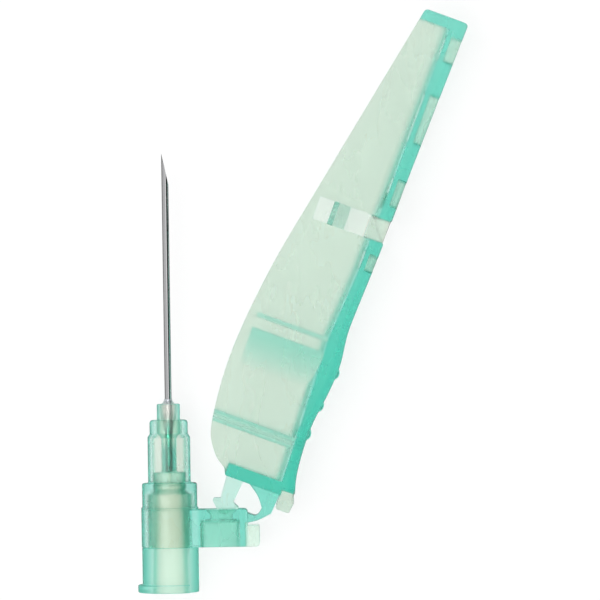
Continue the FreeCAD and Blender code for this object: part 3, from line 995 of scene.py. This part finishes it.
@dataclass
class Hub:
    """The hub with its conical socket, mouth rim, barrel, seat, column and glue cup."""

    mouth: float = 2.15
    taper: float = 0.06
    socket_depth: float = 13.0
    rim: float = 3.9
    rim_height: float = 0.95
    rim_flat_x: float = 2.3
    rim_rounding: float = 0.2
    rim_lap: float = 0.4
    rim_root: float = 0.3
    barrel: float = 3.36
    barrel_y: float = 5.35
    seat: float = 2.62
    seat_y: float = 11.65
    bead_y: float = 9.9
    bead_height: float = 0.15
    bead_half: float = 0.16
    plug: float = 1.97
    plug_y: float = 12.3
    column: float = 0.9
    column_y: float = 14.25
    cup: float = 1.37
    cup_start_y: float = 18.43
    cup_floor_y: float = 18.9
    cup_top_y: float = 22.4
    well: float = 0.98
    well_floor_y: float = 21.42
    needle_hole: float = 0.44
    flow_hole: float = 0.25

    def section(self) -> list[Vector]:
        """The closed section of the turned body, from the mouth round to the socket's end.

        Returns:
            The section, as (radius, height).
        """
        end = self.mouth - self.taper * self.socket_depth / 2
        return rounded_line(
            [
                (self.mouth, 0, 0.12),
                (self.barrel, 0, 0.15),
                (self.barrel, self.barrel_y, 0.12),
                (self.seat, self.barrel_y, 0.1),
                (self.seat, self.bead_y - self.bead_half, 0.1),
                (self.seat + self.bead_height, self.bead_y, 0.15),
                (self.seat, self.bead_y + self.bead_half, 0.1),
                (self.seat, self.seat_y, 0.1),
                (self.plug, self.plug_y, 0.15),
                (self.plug, self.column_y, 0.2),
                (self.column, self.column_y, 0.3),
                (self.column, self.cup_start_y, 0.3),
                (self.cup, self.cup_floor_y, 0.25),
                (self.cup, self.cup_top_y, 0.16),
                (self.well, self.cup_top_y, 0.08),
                (self.well, self.well_floor_y, 0.3),
                (self.needle_hole, self.cup_floor_y, 0.1),
                (self.needle_hole, self.column_y, 0.03),
                (self.flow_hole, self.column_y, 0.03),
                (self.flow_hole, self.socket_depth, 0.08),
                (end, self.socket_depth, 0.7),
            ]
        )

    def make_rim(self) -> bpy.types.Object:
        """Makes the rim round the mouth, flat on the arm's side.

        Returns:
            The rim.
        """
        inner = self.barrel - self.rim_lap
        section = rounded_line(
            [
                (inner, self.rim_rounding),
                (inner + self.rim_root, 0.0),
                (self.rim, 0, self.rim_rounding),
                (self.rim, self.rim_height, self.rim_rounding),
                (inner + self.rim_root, self.rim_height),
            ]
        )
        rim = Bench.turned("rim", section)
        far = 2 * self.rim
        flat = Bench.block("flat", (self.rim_flat_x, -far, -far), (far, far, far))
        return Bench.combine(rim, flat, Combine.CUT)

    def build(self, material: bpy.types.Material) -> bpy.types.Object:
        """Makes the hub.

        Args:
            material: Its finish.

        Returns:
            The piece.
        """
        hub = Bench.turned("hub_moulding", self.section())
        Bench.combine(hub, self.make_rim(), Combine.JOIN)
        return Bench.finished(hub, material)


@dataclass
class Adhesive:
    """The cured drop in the cup, which climbs the needle as a small hollow-sided cone."""

    needle: float = 0.415
    well: float = 0.965
    cup_top_y: float = 22.4
    bottom_y: float = 18.93
    bottom_width: float = 0.012
    cone: tuple[Corner, ...] = ((0.965, -0.06), (0.7913, 0.04), (0.5983, 0.22), (0.465, 0.55))

    def build(self, material: bpy.types.Material) -> bpy.types.Object:
        """Makes the drop.

        Args:
            material: Its finish.

        Returns:
            The piece.
        """
        top = self.cup_top_y
        rise = smooth_line([(radius, top + height) for radius, height in self.cone], steps=5)
        lower = [
            Vector((self.needle, top + self.cone[-1][1], 0)),
            Vector((self.needle, self.bottom_y, 0)),
            Vector((self.needle + self.bottom_width, self.bottom_y, 0)),
            Vector((self.well, top - self.well, 0)),
        ]
        drop = Bench.turned("adhesive_drop", rise + lower, steps=72)
        return Bench.finished(drop, material)


@dataclass
class Collar:
    """The sleeve, ring and nose tube in one moulding, with the arm that carries the shield."""

    foot_y: float = 5.35
    sleeve: float = 3.40
    sleeve_y: float = 10.1
    ring: float = 3.27
    ring_y: float = 13.0
    nose: float = 2.53
    nose_y: float = 18.45
    tip: float = 2.27
    tip_foot_y: float = 18.85
    tip_y: float = 20.5
    lip_bore: float = 1.53
    nose_bore: float = 2.01
    nose_bore_y: Span = (12.3, 18.37)
    seat_bore: float = 2.66
    seat_bore_y: float = 11.65
    groove_y: float = 9.9
    groove_half: float = 0.18
    groove_depth: float = 0.16
    arm_half: float = 2.5
    arm_side: tuple[Corner, ...] = (
        (0, 5.37),
        (10.65, 5.37, 0.45),
        (10.65, 7.85, 0.2),
        (9.25, 7.85, 0.12),
        (9.25, 9.8, 0.45),
        (0, 9.8),
    )
    arm_bore: float = 3.0
    plate: float = 0.8
    pocket_x: Span = (3.6, 8.3)
    pocket_y: float = 8.6
    pocket_rounding: float = 0.85
    ear_x: float = 8.9
    ear_y: float = 8.25
    hole_x: Span = (4.85, 7.45)
    hole_half: float = 1.05
    hole_flare: float = 0.75
    hole_flare_y: Span = (9.2, 9.85)
    beyond: float = 14.0
    edge: float = 0.12

    def section(self) -> list[Vector]:
        """The closed section of the turned body, from its foot over the nose and back inside.

        Returns:
            The section, as (radius, height).
        """
        return rounded_line(
            [
                (self.seat_bore, self.foot_y, 0.08),
                (self.sleeve, self.foot_y, 0.15),
                (self.sleeve, self.sleeve_y, 0.08),
                (self.ring, self.sleeve_y, 0.06),
                (self.ring, self.ring_y, 0.22),
                (self.nose, self.ring_y, 0.25),
                (self.nose, self.nose_y, 0.15),
                (self.tip, self.tip_foot_y, 0.15),
                (self.tip, self.tip_y, 0.4),
                (self.lip_bore, self.tip_y, 0.12),
                (self.lip_bore, self.tip_foot_y, 0.1),
                (self.nose_bore, self.nose_bore_y[1], 0.1),
                (self.nose_bore, self.nose_bore_y[0], 0.1),
                (self.seat_bore, self.seat_bore_y, 0.1),
                (self.seat_bore, self.groove_y + self.groove_half, 0.08),
                (self.seat_bore + self.groove_depth, self.groove_y, 0.12),
                (self.seat_bore, self.groove_y - self.groove_half, 0.08),
            ]
        )

    def make_pocket(self) -> bpy.types.Object:
        """Makes the space between the arm's plates, rounded in its corners and at its roof.

        Returns:
            The space.
        """
        inner, roof = self.arm_half - self.plate, self.pocket_y
        near, far = self.pocket_x
        pocket = Bench.block("pocket", (near, 0, -inner), (far, roof, inner))
        return Bench.round_edges(
            pocket,
            self.pocket_rounding,
            lambda middle, way: runs_along(way, "y")
            or (middle.y > roof - self.edge and runs_along(way, "x")),
        )

    def make_hole(self) -> bpy.types.Object:
        """Makes the latch hole, which flares at the top to guide the pin in.

        Returns:
            The solid that is cut out.
        """
        (left, right), (flare, top) = self.hole_x, self.hole_flare_y
        line = rounded_line(
            [
                (left, self.foot_y),
                (right, self.foot_y),
                (right, flare, 0.2),
                (right + self.hole_flare, top),
                (left - self.hole_flare, top),
                (left, flare, 0.2),
            ]
        )
        return Bench.prism("hole", line, -self.hole_half, self.hole_half)

    def make_arm(self) -> bpy.types.Object:
        """Makes the arm: a slab on two plates, a cross wall, ears and the latch hole.

        Returns:
            The arm, hollowed where the sleeve goes.
        """
        arm = Bench.prism("arm", rounded_line(list(self.arm_side)), -self.arm_half, self.arm_half)
        Bench.combine(arm, self.make_pocket(), Combine.CUT)
        inner, out = self.arm_half - self.plate, self.beyond
        gap = Bench.block("gap", (self.ear_x, 0, -inner), (out, self.ear_y, inner))
        Bench.combine(arm, gap, Combine.CUT)
        Bench.combine(arm, self.make_hole(), Combine.CUT)
        Bench.soften(arm, self.edge)
        bore = [(LAP, 0), (self.arm_bore, 0), (self.arm_bore, out), (LAP, out)]
        tube = Bench.turned("bore", rounded_line(bore))
        return Bench.combine(arm, tube, Combine.CUT)

    def build(self, material: bpy.types.Material) -> bpy.types.Object:
        """Makes the collar.

        Args:
            material: Its finish.

        Returns:
            The piece.
        """
        collar = Bench.turned("collar_moulding", self.section())
        Bench.combine(collar, self.make_arm(), Combine.JOIN)
        return Bench.finished(collar, material)


@dataclass
class ShieldAxes:
    """The shield's own axes: drawn with X across it and Y along it, from the hinge axis."""

    hinge: Triple = (10.42, 8.78, 0.0)
    lean_deg: float = 20.8

    def lay(self, piece: bpy.types.Object) -> bpy.types.Object:
        """Turns a piece from the shield's axes to its place on the part.

        Args:
            piece: The piece, in millimetres.

        Returns:
            The piece.
        """
        return Bench.lay(piece, self.hinge, turn=(0, 0, -math.radians(self.lean_deg)))

    def point(self, across: float, along: float) -> Corner:
        """A point of the shield's axes as a point (x, y) of the part.

        Args:
            across: Its place across the shield.
            along: Its place along the shield.

        Returns:
            The point.
        """
        cosine = math.cos(math.radians(self.lean_deg))
        sine = math.sin(math.radians(self.lean_deg))
        x, y, _ = self.hinge
        return (x + across * cosine + along * sine, y + along * cosine - across * sine)


@dataclass(frozen=True)
class Catch:
    """The slanting leaf beside the window, which the needle snaps behind."""

    ramp_x: float = -4.1
    face_x: float = -2.03
    tip: float = 0.3
    reach: float = 0.5
    thickness: float = 0.42
    rounding: float = 0.12
    edge: float = 0.08

    def line(self, inner: float, outer: float) -> list[Vector]:
        """The leaf's outline, as (x, z).

        Args:
            inner: Height of the wall's inner face.
            outer: Height that its root reaches into the wall.

        Returns:
            The outline, which ends with its two corners in the wall.
        """
        rise = (inner + self.reach) / (self.face_x - self.tip - self.ramp_x)
        through = self.thickness * math.hypot(1, rise)
        root = self.face_x - (outer + self.reach - through) / rise
        return rounded_line(
            [
                (self.ramp_x, inner),
                (self.face_x - self.tip, -self.reach, self.rounding),
                (self.face_x, -self.reach, self.rounding),
                (self.face_x, through - self.reach, self.rounding),
                (root, outer),
                (self.ramp_x, outer),
            ]
        )


@dataclass(frozen=True)
class Guide:
    """A guide inside a side wall, whose height over the wall grows and then stays."""

    along: Span
    slope: float
    start_height: float
    height: float
    across: Span = (-8.2, 1.4)

    def build(self, inner: float, outer: float) -> bpy.types.Object:
        """Makes the guide.

        Args:
            inner: Height of the wall's inner face.
            outer: Height that the guide reaches into the wall.

        Returns:
            The guide on the upper wall.
        """
        low, high = self.along
        line = rounded_line(
            [
                (inner - self.start_height, low, 0.1),
                (inner - self.height, low + self.slope, 0.2),
                (inner - self.height, high, 0.12),
                (outer, high),
                (outer, low),
            ]
        )
        return Bench.across("guide", line, *self.across)


@dataclass(frozen=True)
class Band:
    """A raised band across a side wall, outside and inside, with a lip along both edges."""

    along: Span = (9.1, 10.45)
    across: Span = (-12.0, 1.26)
    inside: float = 0.5
    inside_lip: float = 0.8
    outside: float = 0.04
    outside_lip: float = 0.28
    lip_width: float = 0.42
    lip_foot: float = 0.5

    def build(self, inner: float, outer: float) -> bpy.types.Object:
        """Makes the band.

        Args:
            inner: Height of the wall's inner face.
            outer: Height of its outer face.

        Returns:
            The band on the upper wall.
        """
        low, high = self.along
        lip_in, floor_in = inner - self.inside_lip, inner - self.inside
        lip_out, floor_out = outer + self.outside_lip, outer + self.outside
        line = rounded_line(
            [
                (lip_in, low, 0.1),
                (lip_out, low, 0.1),
                (lip_out, low + self.lip_width, 0.1),
                (floor_out, low + self.lip_foot, 0.08),
                (floor_out, high - self.lip_foot, 0.08),
                (lip_out, high - self.lip_width, 0.1),
                (lip_out, high, 0.1),
                (lip_in, high, 0.1),
                (lip_in, high - self.lip_width, 0.1),
                (floor_in, high - self.lip_foot, 0.08),
                (floor_in, low + self.lip_foot, 0.08),
                (lip_in, low + self.lip_width, 0.1),
            ]
        )
        return Bench.across("band", line, *self.across)


@dataclass(frozen=True)
class Strap:
    """The thin strap that bends, and the block by which it hangs on the base plate.

    Its corners on the block's side are (across, along) in the shield's axes.
    """

    half: float = 2.2
    inset: float = 0.02
    thickness: float = 0.55
    drift: float = 0.1
    arm_x: float = 9.25
    arm_y: Span = (8.2, 9.3)
    near: Corner = (0.14, 1.2)
    far: Corner = (1.36, 1.0)
    near_inside: Corner = (0.3, 1.5)
    far_inside: Corner = (1.38, 1.3)
    hollow: tuple[Corner, ...] = ((-2.3, 3.5), (-0.8, 2.4))
    plate: tuple[Corner, ...] = ((1.55, 3.5), (1.55, 4.25))

    def make_root(self) -> bpy.types.Object:
        """Makes the block between the base plate and the strap.

        Returns:
            The block, in the shield's axes.
        """
        top = (self.hollow[0][0], self.plate[-1][1])
        hollow = smooth_line([*self.hollow, self.near], steps=8)
        line = rounded_line([top]) + hollow + rounded_line([self.far, *self.plate])
        return Bench.prism("root", line, -self.half, self.half)

    def make_strap(self, axes: ShieldAxes) -> bpy.types.Object:
        """Makes the strap, from the arm to the root block.

        Args:
            axes: The shield's axes.

        Returns:
            The strap, on the part itself.
        """
        x, y, _ = axes.hinge
        over = (x - self.drift, y + self.thickness / 2)
        under = (x + self.drift, y - self.thickness / 2)
        upper = smooth_line([(self.arm_x, self.arm_y[1]), over, axes.point(*self.near)], steps=12)
        lower = smooth_line([axes.point(*self.far), under, (self.arm_x, self.arm_y[0])], steps=12)
        root = rounded_line([axes.point(*self.near_inside), axes.point(*self.far_inside)])
        half = self.half - self.inset
        return Bench.prism("strap", upper + root + lower, -half, half)


@dataclass
class Shield:
    """The trough-shaped shield with its strap, catch, guides, ridges, rungs and heel.

    Its points are (across, along) in its own axes, with a corner radius as a third number
    where the corner is round. A pocket is its start and end along the shield and its floor.
    """

    axes: ShieldAxes = field(default_factory=ShieldAxes)
    length: float = 63.6
    wall: float = 0.6
    top_wall: float = 1.3
    base_y: float = 3.5
    floor_y: float = 5.0
    base_end_x: float = -5.3
    base_width: float = 6.8
    top_width: float = 3.6
    top_x: float = -1.8
    beyond: float = 14.0
    back_rounding: float = 1.1
    back_from: Corner = (2.2, 3.35)
    top_rounding: float = 0.4
    inner_rounding: float = 1.4
    edge: float = 0.13
    mouth: tuple[Corner, ...] = (
        (-7.5, 34.6),
        (-8.35, 30.0),
        (-9.0, 25.3),
        (-9.45, 20.5),
        (-9.6, 16.4),
        (-9.3, 11.6),
        (-8.6, 7.6),
        (-7.1, 5.3),
        (-5.7, 4.3),
    )
    heel: tuple[Corner, ...] = ((1.6, 3.5, 0.3), (1.6, 1.8, 0.3), (3.3, 1.8, 0.3))
    heel_gap: Corner = (1.6, 4.15, 3.4)
    back: tuple[Corner, ...] = (
        (3.5, 3.3),
        (2.7, 6.2),
        (2.36, 9.8),
        (2.4, 13.0),
        (2.92, 17.0),
        (3.08, 20.3),
        (2.66, 24.2),
        (2.74, 28.0),
        (2.97, 34.0),
        (3.12, 44.0),
        (3.62, 63.6),
    )
    inner_back: tuple[Corner, ...] = (
        (1.75, 62.3),
        (1.6, 44.0),
        (1.35, 31.0),
        (0.8, 23.0),
        (1.35, 5.0),
    )
    ridges: tuple[Corner, ...] = ((3.06, 19.2), (2.62, 15.0), (2.34, 11.3))
    ridge_radius: float = 0.9
    ridge_height: float = 0.3
    ridge_inset: float = 1.3
    ridge_rounding: float = 0.25
    window: Span = (35.6, 38.4)
    window_x: Span = (-5.92, 0.5)
    pockets: tuple[Triple, ...] = (
        (31.8, 34.0, 1.85),
        (40.0, 43.5, 2.05),
        (48.0, 54.3, 2.15),
        (58.3, 61.6, 2.2),
    )
    pocket_inset: float = 1.05
    pocket_rounding: float = 0.5
    catch: Catch = Catch()
    guides: tuple[Guide, ...] = (
        Guide(along=(16.6, 21.1), slope=3.9, start_height=0.02, height=1.15),
        Guide(along=(22.4, 22.95), slope=0.12, start_height=0.7, height=0.85),
    )
    band: Band = Band()
    band_shift: float = 0.03
    strap: Strap = Strap()

    def half_width(self, along: float) -> float:
        """Half the space between the side walls at a station along the shield."""
        share = (along - self.base_y) / (self.length - self.top_wall - self.base_y)
        return (self.base_width + share * (self.top_width - self.base_width)) / 2

    def wedge(self, grow: float) -> bpy.types.Object:
        """The tapered space that the side walls' faces follow.

        Args:
            grow: How far it is wider than the inner width on each side.

        Returns:
            The wedge.
        """
        low, high = -self.beyond, self.length + self.beyond
        low_half, high_half = self.half_width(low) + grow, self.half_width(high) + grow
        corners = [(-low_half, low), (low_half, low), (high_half, high), (-high_half, high)]
        return Bench.across("wedge", rounded_line(corners), -self.beyond, self.beyond)

    def side_line(self) -> list[Vector]:
        """The side view of the whole shield, from its top down its mouth and up its back.

        Returns:
            The closed line.
        """
        corners = [(self.base_end_x, self.base_y), *self.heel, self.back[0]]
        heel = rounded_line(corners, closed=False)
        top = Vector((self.top_x, self.length, 0))
        return [top] + smooth_line(list(self.mouth)) + heel[:-1] + smooth_line(list(self.back))

    def make_shell(self) -> bpy.types.Object:
        """Makes the trough: its outside less its inside.

        Returns:
            The shell, in the shield's axes.
        """
        depth = self.base_width
        from_x, from_y = self.back_from
        shell = Bench.prism("shield_moulding", self.side_line(), -depth, depth)
        Bench.combine(shell, self.wedge(self.wall), Combine.KEEP)
        Bench.round_edges(
            shell,
            self.back_rounding,
            lambda middle, way: middle.x > from_x and middle.y > from_y and runs_along(way, "y"),
        )
        Bench.round_edges(
            shell, self.top_rounding, lambda middle, way: middle.y > self.length - NEAR
        )
        return Bench.combine(shell, self.make_space(), Combine.CUT)

    def make_space(self) -> bpy.types.Object:
        """Makes the space inside the trough, open at its mouth and under its front.

        Returns:
            The space, in the shield's axes.
        """
        out = self.beyond
        corners = [
            *self.inner_back,
            (self.base_end_x, self.floor_y),
            (self.base_end_x, -out),
            (-out, -out),
            (-out, self.length - self.top_wall),
        ]
        space = Bench.prism("trough", rounded_line(corners), -self.base_width, self.base_width)
        Bench.combine(space, self.wedge(0), Combine.KEEP)
        return Bench.round_edges(
            space,
            self.inner_rounding,
            lambda middle, way: middle.x > self.base_end_x + NEAR
            and abs(abs(middle.z) - self.half_width(middle.y)) < NEAR
            and runs_along(way, "y", least=0.7),
        )

    def catch_line(self) -> list[Vector]:
        """The leaf of the needle catch, as (x, z)."""
        half = self.half_width(self.window[0])
        return self.catch.line(half, half + self.wall / 2)

    def openings(self) -> list[bpy.types.Object]:
        """Makes the solids that are cut out: heel gap, pockets and windows.

        Returns:
            The solids, in the shield's axes.
        """
        out = self.beyond
        gap_x, gap_y, gap_half = self.heel_gap
        cuts = [Bench.block("heel", (gap_x, -out, -gap_half), (out, gap_y, gap_half))]
        for low, high, floor in self.pockets:
            half = self.half_width(high) + self.wall - self.pocket_inset
            pocket = Bench.block("pocket", (floor, low, -half), (out, high, half))
            cuts.append(
                Bench.round_edges(
                    pocket, self.pocket_rounding, lambda middle, way: runs_along(way, "x")
                )
            )
        low, high = self.window
        half = self.half_width(high)
        inside = half - self.wall / 2
        front, back = self.window_x
        root = self.catch_line()[-2].x
        for name, start, end in (
            ("front", front, self.catch.ramp_x - LAP),
            ("beside", root + LAP, back + LAP),
        ):
            cuts.append(Bench.block(name, (start, low, inside), (end, high, out)))
        cuts.append(Bench.block("through", (back, low, -half), (out, high, half)))
        return cuts

    def make_catch(self) -> bpy.types.Object:
        """Makes the slanting leaf that the needle snaps behind.

        Returns:
            The leaf, in the shield's axes.
        """
        low, high = self.window
        leaf = Bench.prism("catch", self.catch_line(), -high - LAP, LAP - low)
        Bench.lay(leaf, turn=(math.pi / 2, 0, 0))
        return Bench.soften(leaf, self.catch.edge)

    def make_guide(self, guide: Guide) -> bpy.types.Object:
        """Makes one guide on the upper wall.

        Args:
            guide: Its sizes.

        Returns:
            The guide, in the shield's axes.
        """
        half = self.half_width(guide.along[0])
        return guide.build(half, half + self.wall / 2)

    def make_band(self) -> bpy.types.Object:
        """Makes the raised band on one wall, ended by the shield's own outline.

        Returns:
            The band on the upper wall.
        """
        half = self.half_width(self.band.along[0])
        band = self.band.build(half, half + self.wall)
        inwards = Vector((self.band_shift, 0, 0))
        outline = [point + inwards for point in self.side_line()]
        side = Bench.prism("side", outline, -self.base_width, self.base_width)
        return Bench.combine(band, side, Combine.KEEP)

    def make_ridge(self, across: float, along: float) -> bpy.types.Object:
        """Makes one round finger ridge across the back.

        Args:
            across: Where the back lies at the ridge.
            along: The ridge's station along the shield.

        Returns:
            The ridge.
        """
        half = self.half_width(along) + self.wall - self.ridge_inset
        centre = across + self.ridge_height - self.ridge_radius
        bpy.ops.object.select_all(action="DESELECT")
        bpy.ops.mesh.primitive_cylinder_add(
            vertices=48, radius=self.ridge_radius, depth=2 * half, location=(centre, along, 0)
        )
        ridge = bpy.context.object
        bpy.ops.object.transform_apply(location=True, rotation=True, scale=True)
        return Bench.round_edges(
            ridge, self.ridge_rounding, lambda middle, way: abs(middle.z) > half - NEAR
        )

    def build(self, material: bpy.types.Material) -> bpy.types.Object:
        """Makes the shield and its strap as the one moulding that they are.

        Args:
            material: Its finish.

        Returns:
            The piece.
        """
        shell = self.make_shell()
        for cut in self.openings():
            Bench.combine(shell, cut, Combine.CUT)
        Bench.soften(shell, self.edge)
        added = [self.make_catch(), self.strap.make_root()]
        for raised in (*map(self.make_guide, self.guides), self.make_band()):
            added += [Bench.mirrored(raised), raised]
        added += [self.make_ridge(across, along) for across, along in self.ridges]
        for extra in added:
            Bench.combine(shell, extra, Combine.JOIN)
        self.axes.lay(shell)
        Bench.combine(shell, self.strap.make_strap(self.axes), Combine.JOIN)
        return Bench.finished(shell, material)


@dataclass
class LatchPin:
    """The pin below the base plate, with its mushroom head."""

    axes: ShieldAxes = field(default_factory=ShieldAxes)
    across: float = -4.1
    root_half: float = 1.05
    root_y: float = 3.495
    neck_half: float = 0.8
    neck_y: float = 0.7
    head_half: float = 1.6
    head_y: Span = (0.08, 0.38)
    tip_half: float = 0.4
    tip_y: float = -1.05
    half_depth: float = 0.8
    rounding: float = 0.2

    def build(self, material: bpy.types.Material) -> bpy.types.Object:
        """Makes the pin.

        Args:
            material: Its finish.

        Returns:
            The piece.
        """
        right = [
            (self.root_half, self.root_y),
            (self.neck_half, self.neck_y, 0.12),
            (self.head_half, self.head_y[1], 0.22),
            (self.head_half, self.head_y[0], 0.3),
            (self.tip_half, self.tip_y, 0.35),
        ]
        left = [(-half, *rest) for half, *rest in reversed(right)]
        corners = [(self.across + half, *rest) for half, *rest in right + left]
        depth = self.half_depth
        pin = Bench.prism("latch_pin_moulding", rounded_line(corners), -depth, depth)
        Bench.round_edges(
            pin,
            self.rounding,
            lambda middle, way: middle.y < self.root_y - NEAR
            and not runs_along(way, "z", least=0.1),
        )
        self.axes.lay(pin)
        return Bench.finished(pin, material)


@dataclass(frozen=True)
class Lamp:
    """A soft square lamp that mirror reflections don't show."""

    name: str
    place: Triple
    size: float
    power: float

    def hang(self, target: Vector) -> None:
        """Hangs the lamp up.

        Args:
            target: The point that it shines at.
        """
        data = bpy.data.lights.new(self.name, "AREA")
        data.size = self.size
        data.energy = self.power
        lamp = bpy.data.objects.new(self.name, data)
        bpy.context.scene.collection.objects.link(lamp)
        lamp.location = self.place
        lamp.visible_glossy = False
        lamp.rotation_euler = (target - Vector(self.place)).to_track_quat("-Z", "Y").to_euler()


@dataclass(frozen=True)
class Studio:
    """Pale floor, white surroundings, soft lamps and the camera of the photograph."""

    scale_px_per_mm: float = 8.4
    photo_px: float = 600.0
    axis_px: Span = (171.1, 592.0)
    roll_deg: float = 0.87
    camera_height_mm: float = 600.0
    sensor_mm: float = 36.0
    floor_half: float = 2.0
    floor_colour: Colour = (0.92, 0.92, 0.92)
    floor_white: float = 0.8
    floor_mirrored: float = 0.12
    soft_level: float = 0.55
    sky_level: float = 0.72
    stripe_level: float = 1.3
    stripe_place: float = 0.18
    stripe_edge: Span = (0.12, 0.24)
    dark_level: float = 0.02
    dark_side: float = 0.9
    dark_edge: Span = (0.35, 0.62)
    lamps: tuple[Lamp, ...] = (
        Lamp("key", (-0.25, 0.10, 0.60), 0.50, 3.0),
        Lamp("fill", (-0.10, -0.30, 0.50), 0.40, 1.0),
    )
    target: Triple = (0.015, 0.034, 0.0)

    def build(self) -> None:
        """Makes the world, the floor, the lamps and the camera."""
        self.make_world()
        self.make_floor()
        for lamp in self.lamps:
            lamp.hang(Vector(self.target))
        self.make_camera()

    @staticmethod
    def light(shader: Shader, kind: str, white: float) -> Value:
        """A white light of one strength, from a Background or an Emission node.

        Args:
            shader: The node tree.
            kind: Which of the two.
            white: Its strength.

        Returns:
            The light.
        """
        return shader.node(f"ShaderNode{kind}", {}, {"Color": (1, 1, 1, 1), "Strength": white})

    @staticmethod
    def is_ray(shader: Shader, *kinds: str) -> Value:
        """Picks out rays of some kinds.

        Args:
            shader: The node tree.
            kinds: Names of rays, as a Light Path node has them without "Is" and "Ray".

        Returns:
            1 for rays of any of these kinds, and 0 for others.
        """
        first, *others = (
            shader.node("ShaderNodeLightPath", output=f"Is {kind} Ray") for kind in kinds
        )
        for other in others:
            first = first.either(other)
        return first

    @classmethod
    def is_mirrored(cls, shader: Shader) -> Value:
        """1 for rays that a surface reflects, and 0 for those that pass through plastic."""
        return cls.is_ray(shader, "Glossy") * (1 - cls.is_ray(shader, "Transmission"))

    def make_world(self) -> None:
        """Soft light all round, which steel and gloss reflect as white above and dark beside."""
        world = bpy.data.worlds.new("studio")
        bpy.context.scene.world = world
        shader = Shader(world)
        way = shader.node("ShaderNodeTexCoord", output="Generated")
        across, height = (
            shader.node("ShaderNodeSeparateXYZ", {}, {0: way}, axis) for axis in "XZ"
        )
        dark, sky, stripe, soft, plain = (
            self.light(shader, "Background", white)
            for white in (self.dark_level, self.sky_level, self.stripe_level, self.soft_level, 1.0)
        )
        on_stripe = 1 - (across - self.stripe_place).size().spread(*self.stripe_edge)
        in_sky = (height - across * self.dark_side).spread(*self.dark_edge)
        room = shader.mixed(in_sky, dark, shader.mixed(on_stripe, sky, stripe))
        unseen = shader.mixed(self.is_mirrored(shader), soft, room)
        seen = self.is_ray(shader, "Camera", "Transmission")
        shader.finish(shader.mixed(seen, unseen, plain))

    def make_floor(self) -> None:
        """The plain pale floor that the part lies on, which keeps the part's shadow."""
        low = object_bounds()[0]
        bpy.ops.mesh.primitive_plane_add(size=2 * self.floor_half, location=(0, 0, low.z))
        floor = bpy.context.object
        floor.name = "floor"
        material = bpy.data.materials.new("floor")
        shader = Shader(material)
        matt = shader.node("ShaderNodeBsdfDiffuse", {}, {"Color": opaque(self.floor_colour)})
        bright = self.light(shader, "Emission", 1.0)
        dim = self.light(shader, "Emission", self.floor_mirrored)
        seen = shader.mixed(self.is_mirrored(shader), bright, dim)
        share = self.is_ray(shader, "Camera", "Glossy", "Transmission") * self.floor_white
        shader.finish(shader.mixed(share, matt, seen))
        floor.data.materials.append(material)
        floor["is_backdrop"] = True

    def make_camera(self) -> None:
        """The camera straight above the part, with the photograph's frame."""
        roll = math.radians(self.roll_deg)
        middle = self.photo_px / 2
        right = (middle - self.axis_px[0]) / self.scale_px_per_mm
        up = (self.axis_px[1] - middle) / self.scale_px_per_mm
        data = bpy.data.cameras.new("camera")
        data.sensor_width = self.sensor_mm
        frame_mm = self.photo_px / self.scale_px_per_mm
        data.lens = self.sensor_mm * self.camera_height_mm / frame_mm
        data.clip_start = 0.01
        data.clip_end = 10.0
        camera = bpy.data.objects.new("camera", data)
        bpy.context.scene.collection.objects.link(camera)
        camera.location = (
            (right * math.cos(roll) + up * math.sin(roll)) * MM,
            (up * math.cos(roll) - right * math.sin(roll)) * MM,
            self.camera_height_mm * MM,
        )
        camera.rotation_euler = (0, 0, -roll)
        bpy.context.scene.camera = camera


def settle(piece: bpy.types.Object, slot: Slot, body: Body | None, *nodes: str) -> None:
    """Hides the nodes that a piece stands for and hangs the piece on the body that it rides on.

    Args:
        piece: The finished piece.
        slot: The record's material slot; not used.
        body: The body that it rides on, or None for a piece that bends between both, which is hung
            on neither.
        nodes: The nodes that it stands for.
    """
    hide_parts(*nodes)
    if body is not None:
        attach(piece, body.value)


def build_needle_unit() -> None:
    """Builds the pieces that stay with the syringe."""
    settle(Hub().build(HUB_PLASTIC.material()), Slot.HUB, Body.NEEDLE, "hub")
    settle(Needle().build(STEEL.material()), Slot.STEEL, Body.NEEDLE, "cannula")
    settle(Adhesive().build(GLUE.material()), Slot.ADHESIVE, Body.NEEDLE, "adhesive")
    settle(Collar().build(SLEEVE_PLASTIC.material()), Slot.SHIELD, Body.NEEDLE, "collar")


def build_shield_unit() -> None:
    """Builds the shield with its strap, which bends, and the latch pin."""
    plastic = SHIELD_PLASTIC.material()
    shield = Shield().build(plastic)
    settle(shield, Slot.SHIELD, None, "shield", "hinge_strap")
    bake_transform(shield)
    settle(LatchPin().build(plastic), Slot.SHIELD, Body.SHIELD, "latch_pin")


def main() -> None:
    """Builds the looks and reports each piece."""
    logging.basicConfig(level=logging.INFO, format="%(name)s %(message)s")
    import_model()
    build_needle_unit()
    build_shield_unit()
    Studio().build()
    bpy.context.scene.view_settings.view_transform = "Standard"


if __name__ == "__main__":
    main()
